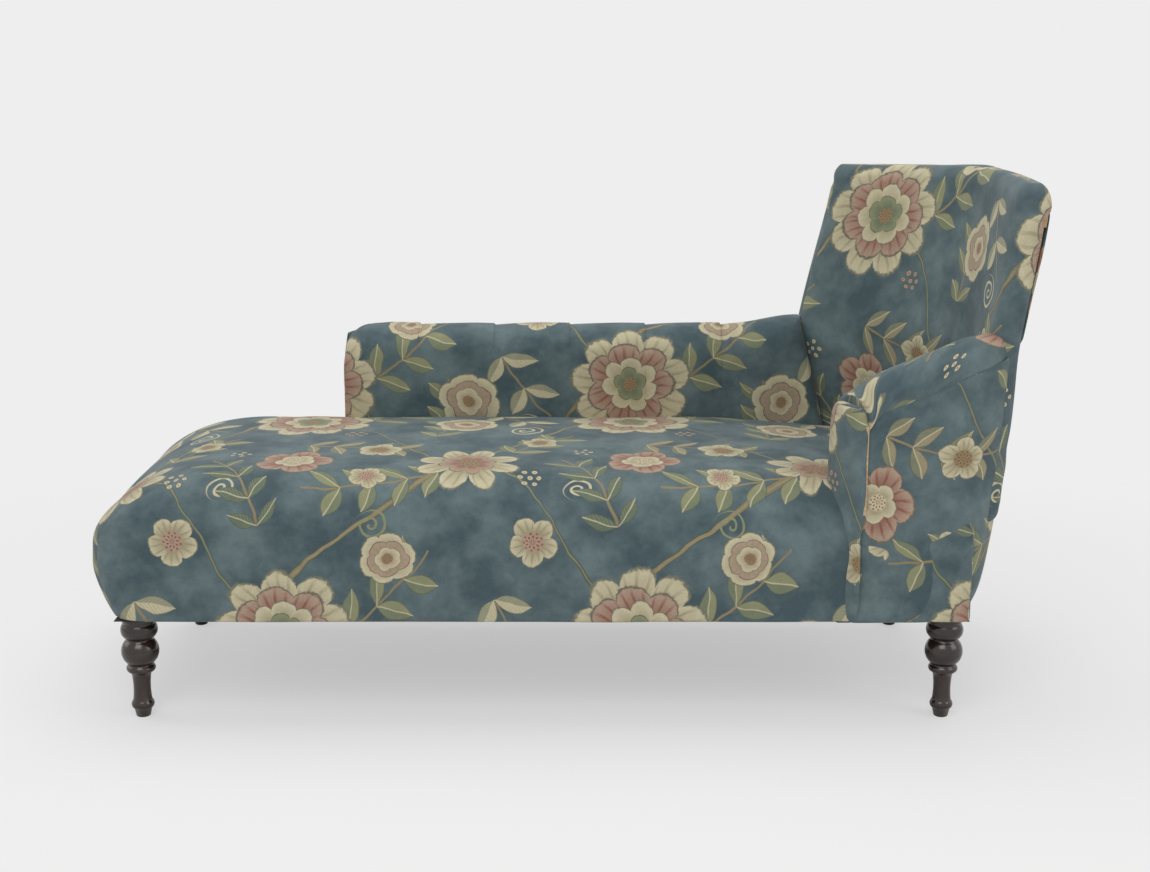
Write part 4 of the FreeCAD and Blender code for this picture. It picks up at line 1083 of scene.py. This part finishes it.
def build_facing():
    """Padded strip down the front of the arm, wide at the roll and narrow at the base."""
    rings = []
    us = []
    vs = []
    for z in spaced([(row[0], 0.0) for row in FACING_OUTLINE], 0.012)[:, 0]:
        first = along(FACING_OUTLINE, z)
        last = along(FACING_OUTLINE, z, 2)
        shares = np.linspace(first, last, 8)
        low = smooth(FACING_NARROW_Z - z, 0.0, 0.03)
        plan = []
        for share in shares:
            t = (share - first) / (last - first)
            swell = 0.005 * math.sin(math.pi * t) + 0.002
            plan.append(facing_point(share, -swell + 0.006 * abs(2 * t - 1) ** 3))
        plan += [facing_point(share, 0.0225 - 0.009 * low) for share in shares[::-1]]
        ring = []
        for x, y in plan:
            if y > FACING_NARROW_Y:
                y += (FACING_NARROW_Y - y) * low
            ring.append((x, max(y, FACING_OUTER_Y), z))
        rings.append(ring)
        us.append(run_row(plan, 0.02, 0.2))
        vs.append(place_row([z + 0.31] * len(plan)))
    piece = tube_piece("arm_facing_pad", rings, us, vs, lambda p: (p[0], p[1]))
    subdivide(piece, 2)
    return piece


# Outside panels


def panel_piece(name, path_at, heights, shift, top_table=None):
    """Thin padded cloth panel along a plan path given for each height.

    Where a table of place in X and height is given, the panel's top follows it.
    """
    foot, full = heights[0], heights[-1] - heights[0]
    rings = []
    us = []
    vs = []
    for z in heights:
        outer, inner = path_at(z)
        plan = np.concatenate([outer, inner[::-1]])
        levels = [z] * len(plan)
        if top_table:
            levels = [foot + (z - foot) * (along(top_table, x) - foot) / full for x, _ in plan]
        rings.append([(x, y, level) for (x, y), level in zip(plan, levels)])
        us.append(run_row(plan, PANEL_THICKNESS, shift))
        vs.append(place_row([level + shift for level in levels]))
    return tube_piece(name, rings, us, vs, lambda p: (p[0], p[1]))


def panel_faces(path):
    """Plan path of a panel and the same path moved to its left by the panel's thickness."""
    ahead = np.gradient(path, axis=0)
    ahead /= np.maximum(np.linalg.norm(ahead, axis=1, keepdims=True), 1e-9)
    return path, path + np.stack([-ahead[:, 1], ahead[:, 0]], axis=1) * PANEL_THICKNESS


def arm_panel_path(z):
    """From the facing along the near side and round the corner to the back's edge."""
    x = along(HEAD_PROFILE, z)
    radius = 0.120 if z > 0.215 else 0.110
    front = 0.514 + 0.010 * smooth(z, 0.21, 0.30)
    corner = arc_points((x - radius, -HALF_DEPTH + radius), radius, -90, 0)
    return panel_faces(resample([(front, -HALF_DEPTH)] + corner + [(x, -0.2055)], 22))


def back_panel_path(z):
    """From the arm's panel across the head end and round the corner to the wing."""
    x = along(HEAD_PROFILE, z)
    radius = along(HEAD_PROFILE, z, 2)
    bend = arc_points((x - radius, HALF_DEPTH - radius), radius, 0, 90, 16)
    wing = 0.4865 + WING_RUN * wing_share(z)
    near = -0.2045 if z < 0.685 else -0.262
    return panel_faces(resample([(x, near)] + bend + [(wing + 0.012, HALF_DEPTH)], 34))


def low_panel_path(_):
    """Straight along the far side, behind the low back."""
    outer = resample([(0.4845, HALF_DEPTH), (-0.4455, HALF_DEPTH)], 36)
    return outer, outer - np.array([0.0, PANEL_THICKNESS])


def build_outside_panels():
    """Cloth panels on the near side, the head end and behind the low back."""
    arm_heights = np.linspace(PANEL_FOOT, 0.690, 22)
    back_heights = [*np.linspace(PANEL_FOOT, 0.684, 18), *np.linspace(0.692, 0.9275, 12)]
    low_heights = np.linspace(PANEL_FOOT, 0.6285, 20)
    panels = (
        (panel_piece("outside_arm", arm_panel_path, arm_heights, 0.12, ARM_CREASE),
         "outside_arm_panel", 31.0),
        (panel_piece("outside_back", back_panel_path, back_heights, 0.45),
         "outside_back_panel", 37.0),
        (panel_piece("low_back_outside", low_panel_path, low_heights, 0.03),
         "low_back_outside_panel", 41.0),
    )
    for piece, node, seed in panels:
        subdivide(piece, 1)
        ruffle(piece, height=0.0009, size=0.10, seed=seed)
        dress(piece, linen_material(), [node])


# Legs

LEG_UV_STEP = 0.003


def box_middle(node):
    """Middle of a solid in plan."""
    low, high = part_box(node)
    return (low[0] + high[0]) / 2, (low[1] + high[1]) / 2


def build_legs():
    """Four turned legs, each a closed lathe form."""
    settings = bpy.context.scene.chaise_leg
    wood = wood_material("leg_stain", tuple(settings.wood), tuple(settings.grain), 0.22, 0.3)
    sides = settings.sides
    outline = LEG_OUTLINE[1:-1]
    for node in LEG_NAMES:
        cx, cy = box_middle(node)
        points = [(cx, cy, LEG_OUTLINE[0][1])]
        for radius, z in outline:
            for k in range(sides):
                angle = 2 * math.pi * k / sides
                points.append((cx + radius * math.cos(angle), cy + radius * math.sin(angle), z))
        points.append((cx, cy, LEG_OUTLINE[-1][1]))
        last = len(points) - 1
        top = last - sides
        faces = []
        uvs = []
        for k in range(sides):
            j = (k + 1) % sides
            faces += [(0, 1 + j, 1 + k), (last, top + k, top + j)]
            uvs += [(0.0, 0.0), (0.01, 0.0), (0.0, 0.01)] * 2
            u0, u1 = k * LEG_UV_STEP, k * LEG_UV_STEP + LEG_UV_STEP
            for row in range(len(outline) - 1):
                base = 1 + row * sides
                faces.append((base + k, base + j, base + sides + j, base + sides + k))
                z0, z1 = outline[row][1], outline[row + 1][1]
                uvs += [(u0, z0), (u1, z0), (u1, z1), (u0, z1)]
        dress(new_mesh("turned_" + node, points, faces, uvs), wood, [node])


# Underside

DUST_COLUMNS, DUST_ROWS = 57, 25
DUST_EDGE = 0.004  # margin kept inside the solid's box
LEG_CUT = 0.033  # radius of the cut round a leg
DUST_SAG = 0.0022
DUST_THICKNESS = 0.0006
STAPLE_INSET = 0.009
FOOT_CORNER, HEAD_CORNER = 0.07, 0.11  # the staple line cuts the corners by these


def build_underside():
    """Dust cover stretched under the rails, with a row of staples round its edge."""
    low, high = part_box("dust_cover")
    z = (low[2] + high[2]) / 2
    legs = [box_middle(node) for node in LEG_NAMES]
    xs = np.linspace(low[0] + DUST_EDGE, high[0] - DUST_EDGE, DUST_COLUMNS)
    ys = np.linspace(low[1] + DUST_EDGE, high[1] - DUST_EDGE, DUST_ROWS)
    points = []
    for x in xs:
        for y in ys:
            px, py = x, y
            for lx, ly in legs:
                dx, dy = px - lx, py - ly
                away = math.hypot(dx, dy)
                if away < LEG_CUT:
                    px = lx + dx / max(away, 1e-6) * LEG_CUT
                    py = ly + dy / max(away, 1e-6) * LEG_CUT
            edge = min(px - xs[0], xs[-1] - px, py - ys[0], ys[-1] - py)
            points.append((px, py, z - DUST_SAG * smooth(edge, 0.0, 0.12)))
    faces = []
    for i in range(DUST_COLUMNS - 1):
        for j in range(DUST_ROWS - 1):
            here, ahead = i * DUST_ROWS + j, (i + 1) * DUST_ROWS + j
            face = (here, ahead, ahead + 1, here + 1)
            middle = np.mean([points[m] for m in face], axis=0)
            if all(math.hypot(middle[0] - lx, middle[1] - ly) >= LEG_CUT - 0.0005
                   for lx, ly in legs):
                faces.append(face)
    uvs = [points[m][:2] for face in faces for m in face]
    used = sorted({m for face in faces for m in face})
    index = {m: i for i, m in enumerate(used)}
    faces = [tuple(index[m] for m in face) for face in faces]
    piece = new_mesh("dust_cover_cloth", [points[m] for m in used], faces, uvs)
    solid = piece.modifiers.new("Cloth thickness", "SOLIDIFY")
    solid.thickness = DUST_THICKNESS
    apply_modifiers(piece)
    black = weave_material("dust_cloth", (24, 24, 26), (52, 52, 54), 3200.0)
    dress(piece, black, ["dust_cover"])
    build_staples((xs[0], xs[-1], ys[0], ys[-1]), z)


def staple_tree():
    """Geometry Nodes that lay wire bars along a line, with named sizes."""
    tree = bpy.data.node_groups.new("Staple row", "GeometryNodeTree")
    add_socket(tree, "Geometry", "Geometry")
    for name, value in (("Spacing", 0.042), ("Length", 0.011), ("Wire", 0.0011)):
        add_socket(tree, name, "Float").default_value = value
    add_socket(tree, "Geometry", "Geometry", "OUTPUT")
    given = {socket.name: Reading(tree, socket) for socket in
             add_node(tree, "NodeGroupInput").outputs}

    def step(kind, inputs, output=0, **settings):
        return Reading(tree, add_node(tree, kind, inputs, **settings).outputs[output])

    curve = step("GeometryNodeMeshToCurve", {"Mesh": given["Geometry"]})
    row = add_node(tree, "GeometryNodeCurveToPoints", {"Curve": curve}, mode="LENGTH")
    put(tree, row.inputs["Length"], given["Spacing"])
    size = step("ShaderNodeCombineXYZ", {"X": given["Wire"], "Y": given["Wire"],
                                         "Z": given["Length"]})
    bar = step("GeometryNodeMeshCube", {"Size": size}, "Mesh")
    laid = step("GeometryNodeInstanceOnPoints", {
        "Points": Reading(tree, row.outputs["Points"]), "Instance": bar,
        "Rotation": Reading(tree, row.outputs["Rotation"])})
    real = step("GeometryNodeRealizeInstances", {"Geometry": laid})
    wire = metal_material("staple_wire", (150, 150, 148), 0.35)
    finish = step("GeometryNodeSetMaterial", {"Geometry": real, "Material": wire})
    put(tree, add_node(tree, "NodeGroupOutput").inputs[0], finish)
    return tree


def build_staples(edges, z):
    """Staples laid by Geometry Nodes along the edge of the dust cover."""
    x0, x1, y0, y1 = edges
    foot, head = x0 + FOOT_CORNER, x1 - HEAD_CORNER
    left, right = x0 + STAPLE_INSET, x1 - STAPLE_INSET
    near, far = y0 + STAPLE_INSET, y1 - STAPLE_INSET
    ring = [(foot, near), (head, near), (right, y0 + HEAD_CORNER), (right, y1 - HEAD_CORNER),
            (head, far), (foot, far), (left, y1 - FOOT_CORNER), (left, y0 + FOOT_CORNER)]
    count = len(ring)
    mesh = bpy.data.meshes.new("staple_line")
    mesh.from_pydata([(x, y, z - 0.0009) for x, y in ring],
                     [(i, (i + 1) % count) for i in range(count)], [])
    piece = link_piece("dust_cover_staples", mesh)
    tree = staple_tree()
    modifier = piece.modifiers.new("Staples", "NODES")
    modifier.node_group = tree
    for socket in tree.interface.items_tree:
        if socket.in_out == "INPUT" and socket.name != "Geometry":
            modifier[socket.identifier] = socket.default_value
    apply_modifiers(piece)
    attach(piece, "root")


# Finishes


def wood_material(name, dark, light, roughness, coat):
    """Stained and lacquered wood."""
    material, tree, shader = new_material(name, {
        "Roughness": roughness, "Coat Weight": coat, "Coat Roughness": 0.12})
    where = object_place(tree)
    rings = speckle(tree, where, 1.0, detail=4.0, rough=0.6, stretch=(60.0, 60.0, 7.0))
    fine = speckle(tree, where, 1.0, detail=3.0, rough=0.6, stretch=(420.0, 420.0, 26.0))
    grain = rings.over(0.55, 0.3) * 0.6 + fine.over(0.6, 0.3) * 0.4
    colour = blend_colours(tree, dark, light, grain)
    colour_and_relief(tree, shader, colour, fine, distance=0.0004, strength=0.2)
    return material


def timber_material(name, dark, light, stretch):
    """Sawn timber with its grain along the piece."""
    material, tree, shader = new_material(name, {"Roughness": 0.72})
    where = object_place(tree)
    rings = speckle(tree, where, 1.0, detail=5.0, rough=0.6,
                    stretch=tuple(90.0 * s for s in stretch))
    saw = speckle(tree, where, 1.0, stretch=tuple(600.0 * s for s in stretch))
    colour = blend_colours(tree, tone(*dark), tone(*light), rings.over(0.5, 0.5))
    colour_and_relief(tree, shader, colour, rings * 0.5 + saw * 0.5, distance=0.0008, strength=0.4)
    return material


def metal_material(name, bright, roughness):
    """Plain metal with rubbed darker patches."""
    material, tree, shader = new_material(name, {"Metallic": 1.0, "Roughness": roughness})
    rub = speckle(tree, object_place(tree), 260.0, detail=3.0, rough=0.6)
    dull = tuple(c * 0.62 for c in tone(*bright))
    colour = blend_colours(tree, dull, tone(*bright), rub.over(0.45, 0.4))
    colour_and_relief(tree, shader, colour, rub, distance=0.0002, strength=0.3)
    return material


def weave_material(name, dark, light, scale):
    """Open woven cloth or webbing, on the piece's own place."""
    material, tree, shader = new_material(name, {"Roughness": 0.9})
    where = object_place(tree)
    x, y, z = [(part * scale).math("SINE") for part in components(tree, where)]
    threads = (x * y + z * 0.5) * 0.33 + 0.5
    slubs = speckle(tree, where, 180.0, detail=3.0)
    colour = blend_colours(tree, tone(*dark), tone(*light), threads * 0.5 + slubs * 0.5)
    colour_and_relief(tree, shader, colour, threads, distance=0.0006, strength=0.5)
    return material


def plastic_material():
    """Scuffed dark plastic of the glides."""
    material, tree, shader = new_material("glide_plastic", {"Roughness": 0.48})
    scuff = speckle(tree, object_place(tree), 400.0, detail=4.0, rough=0.7)
    colour = blend_colours(tree, tone(34, 32, 30), tone(80, 76, 72), scuff.over(0.6, 0.3))
    colour_and_relief(tree, shader, colour, scuff, distance=0.0002, strength=0.4)
    return material


def finish_frame():
    """Give the carried-over timber, springs, webbing and fixings their finishes."""
    lengthwise = timber_material("timber_lengthwise", (150, 118, 82), (196, 164, 120),
                                 (0.06, 1.0, 1.0))
    crosswise = timber_material("timber_crosswise", (148, 116, 80), (192, 160, 118),
                                (1.0, 0.06, 1.0))
    upright = timber_material("timber_upright", (152, 120, 84), (198, 166, 122),
                              (1.0, 1.0, 0.06))
    ply = timber_material("plywood_face", (160, 128, 90), (206, 178, 136), (0.2, 0.2, 1.6))
    steel = metal_material("spring_steel", (120, 120, 122), 0.38)
    zinc = metal_material("zinc_fixings", (176, 174, 166), 0.3)
    hessian = weave_material("hessian", (142, 118, 82), (186, 162, 120), 2100.0)
    finishes = {
        lengthwise: ("seat_front_rail", "seat_back_rail", "low_back_top_rail", "arm_rail"),
        crosswise: ("foot_end_rail", "head_end_rail", "cross_rail_foot", "cross_rail_head",
                    "crest_rail", "stuffing_rails"),
        upright: ("corner_blocks", "low_back_post_foot", "low_back_post_middle",
                  "low_back_post_head", "tall_back_post_near", "tall_back_post_middle",
                  "tall_back_post_far", "wing_post", "arm_front_post", "arm_rear_post",
                  "frame_dowels"),
        ply: ("facing_board",),
        steel: ("seat_springs", "spring_tie_wires"),
        zinc: ("leg_bolts", "leg_nuts", "block_screws", "spring_clips"),
        hessian: ("spring_platform", "low_back_webbing"),
        plastic_material(): ("floor_glides",),
    }
    for material, names in finishes.items():
        for name in names:
            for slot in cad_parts[name].material_slots:
                slot.material = material


# Stage

FLOOR_HALF = 14.0
FLOOR_LIT = 0.55  # share of plain paper white under the chaise, which softens its shadow
CAMERA_PLACE = (0.005, -3.293, 1.2)
CAMERA_PITCH = 12.5
PHOTO_WIDTH = 1150.0  # pixels; the focal length and the shift below are in the same pixels
PHOTO_FOCAL, PHOTO_SHIFT = 1740.0, 11.0
SENSOR_WIDTH = 36.0


def lamp(name, place, aim, size, power):
    data = bpy.data.lights.new(name, "AREA")
    data.shape = "RECTANGLE"
    data.size, data.size_y = size
    data.energy = power
    item = link_piece(name, data)
    item.location = place
    item.rotation_euler = (Vector(aim) - Vector(place)).to_track_quat("-Z", "Y").to_euler()


def build_floor(pale):
    """Pale floor that fades into the backdrop for the camera."""
    points = [(-FLOOR_HALF, -FLOOR_HALF, 0.0), (FLOOR_HALF, -FLOOR_HALF, 0.0),
              (FLOOR_HALF, FLOOR_HALF, 0.0), (-FLOOR_HALF, FLOOR_HALF, 0.0)]
    floor = new_mesh("studio_floor", points, [(0, 1, 2, 3)], [(0, 0), (1, 0), (1, 1), (0, 1)])
    material, tree, shader = new_material("studio_floor", {
        "Roughness": 0.8, "Specular IOR Level": 0.15})
    where = object_place(tree)
    haze = speckle(tree, where, 3.0)
    soft = tuple(c * 0.99 for c in pale)
    put(tree, shader.inputs["Base Color"], blend_colours(tree, soft, pale, haze))
    stretched = vector_math(tree, "MULTIPLY", where, (0.75, 1.0, 1.0))
    away = add_node(tree, "ShaderNodeVectorMath", operation="LENGTH")
    put(tree, away.inputs[0], stretched)
    paper = Reading(tree, away.outputs["Value"]).over(1.25, 1.1) * (1 - FLOOR_LIT) + FLOOR_LIT
    seen = add_node(tree, "ShaderNodeLightPath")
    share = paper * Reading(tree, seen.outputs["Is Camera Ray"])
    plain = add_node(tree, "ShaderNodeEmission", {"Color": (*pale, 1.0)})
    mix = add_node(tree, "ShaderNodeMixShader", {
        0: share, 1: Reading(tree, shader.outputs[0]), 2: Reading(tree, plain.outputs[0])})
    tree.links.new(mix.outputs[0], tree.nodes["Material Output"].inputs["Surface"])
    floor.data.materials.append(material)


def build_sky(pale, strength):
    """Even light from all round, at full strength where it is seen or mirrored."""
    world = bpy.data.worlds.new("studio")
    world.use_nodes = True
    tree = world.node_tree
    background = tree.nodes["Background"]
    background.inputs["Color"].default_value = (*pale, 1.0)
    path = add_node(tree, "ShaderNodeLightPath")
    camera, glossy = (Reading(tree, path.outputs[name]) for name in
                      ("Is Camera Ray", "Is Glossy Ray"))
    seen = camera.math("MAXIMUM", glossy)
    put(tree, background.inputs["Strength"], seen * (1.0 - strength) + strength)
    bpy.context.scene.world = world


def build_camera():
    """Camera at the photograph's viewing angle."""
    data = bpy.data.cameras.new("photo_camera")
    data.lens = SENSOR_WIDTH * PHOTO_FOCAL / PHOTO_WIDTH
    data.sensor_width = SENSOR_WIDTH
    data.shift_x = PHOTO_SHIFT / PHOTO_WIDTH
    camera = link_piece("photo_camera", data)
    camera.location = CAMERA_PLACE
    camera.rotation_euler = (math.radians(90.0 - CAMERA_PITCH), 0.0, 0.0)
    bpy.context.scene.camera = camera


def build_stage():
    """Pale floor, soft lamps and a camera."""
    settings = bpy.context.scene.chaise_stage
    pale = tuple(settings.floor)
    build_floor(pale)
    fill = settings.fill_power
    for name, place, aim, size, power in (
            ("key_lamp", (-0.7, -3.2, 3.3), (0.0, 0.0, 0.45), (2.6, 2.2), settings.key_power),
            ("side_lamp", (3.2, -1.6, 2.0), (0.2, 0.0, 0.5), (1.8, 1.8), fill),
            ("left_lamp", (-3.4, 0.4, 1.8), (-0.2, 0.0, 0.4), (1.8, 1.8), fill * 0.6),
            ("top_lamp", (0.0, 0.6, 3.4), (0.0, 0.0, 0.4), (3.2, 2.6), settings.top_power)):
        lamp(name, place, aim, size, power)
    build_sky(pale, settings.sky)
    build_camera()
    bpy.context.scene.view_settings.view_transform = "Standard"


# Operators


class CHAISE_OT_seat(bpy.types.Operator):
    """Build the seat upholstery"""

    bl_idname = "chaise.seat"
    bl_label = "Seat"

    def execute(self, context):
        dress(build_seat(), linen_material(), ["seat_cover", "seat_foam"])
        return {"FINISHED"}


class CHAISE_OT_low_back(bpy.types.Operator):
    """Build the padded low back"""

    bl_idname = "chaise.low_back"
    bl_label = "Low back"

    def execute(self, context):
        dress(build_low_back(), linen_material(), ["low_back_pad"])
        return {"FINISHED"}


class CHAISE_OT_tall_back(bpy.types.Operator):
    """Build the padded tall back"""

    bl_idname = "chaise.tall_back"
    bl_label = "Tall back"

    def execute(self, context):
        dress(build_tall_back(), linen_material(), ["tall_back_pad"])
        return {"FINISHED"}


class CHAISE_OT_arm(bpy.types.Operator):
    """Build the rolled arm and its facing"""

    bl_idname = "chaise.arm"
    bl_label = "Arm"

    def execute(self, context):
        dress(build_arm(), linen_material(), ["arm_pad"])
        dress(build_facing(), linen_material(), ["arm_facing"])
        return {"FINISHED"}


class CHAISE_OT_outside(bpy.types.Operator):
    """Build the outside panels"""

    bl_idname = "chaise.outside"
    bl_label = "Outside panels"

    def execute(self, context):
        build_outside_panels()
        return {"FINISHED"}


class CHAISE_OT_legs(bpy.types.Operator):
    """Build the four turned legs"""

    bl_idname = "chaise.legs"
    bl_label = "Legs"

    def execute(self, context):
        build_legs()
        return {"FINISHED"}


class CHAISE_OT_underside(bpy.types.Operator):
    """Build the dust cover and its staples"""

    bl_idname = "chaise.underside"
    bl_label = "Underside"

    def execute(self, context):
        build_underside()
        return {"FINISHED"}


class CHAISE_OT_frame(bpy.types.Operator):
    """Finish the timber, springs and fixings inside"""

    bl_idname = "chaise.frame"
    bl_label = "Frame finishes"

    def execute(self, context):
        finish_frame()
        return {"FINISHED"}


class CHAISE_OT_stage(bpy.types.Operator):
    """Build the floor, lamps and camera"""

    bl_idname = "chaise.stage"
    bl_label = "Stage"

    def execute(self, context):
        build_stage()
        return {"FINISHED"}


OPERATORS = (CHAISE_OT_seat, CHAISE_OT_low_back, CHAISE_OT_tall_back, CHAISE_OT_arm,
             CHAISE_OT_outside, CHAISE_OT_legs, CHAISE_OT_underside, CHAISE_OT_frame,
             CHAISE_OT_stage)
SETTINGS = (("chaise_cloth", ChaiseCloth), ("chaise_form", ChaiseForm),
            ("chaise_leg", ChaiseLeg), ("chaise_stage", ChaiseStage))


class CHAISE_PT_panel(bpy.types.Panel):
    """Sidebar list of the pieces and their settings"""

    bl_label = "Chaise longue"
    bl_idname = "CHAISE_PT_panel"
    bl_space_type = "VIEW_3D"
    bl_region_type = "UI"
    bl_category = "Chaise"

    def draw(self, context):
        for name, kind in SETTINGS:
            group = getattr(context.scene, name)
            for key in kind.__annotations__:
                self.layout.prop(group, key)
        for operator in OPERATORS:
            self.layout.operator(operator.bl_idname)


def register():
    for name, kind in SETTINGS:
        bpy.utils.register_class(kind)
        setattr(bpy.types.Scene, name, PointerProperty(type=kind))
    for kind in OPERATORS + (CHAISE_PT_panel,):
        bpy.utils.register_class(kind)


def unregister():
    for kind in (CHAISE_PT_panel,) + OPERATORS[::-1]:
        bpy.utils.unregister_class(kind)
    for name, kind in SETTINGS[::-1]:
        delattr(bpy.types.Scene, name)
        bpy.utils.unregister_class(kind)


def main():
    register()
    for operator in OPERATORS:
        group, name = operator.bl_idname.split(".")
        getattr(getattr(bpy.ops, group), name)()


if __name__ == "__main__":
    main()
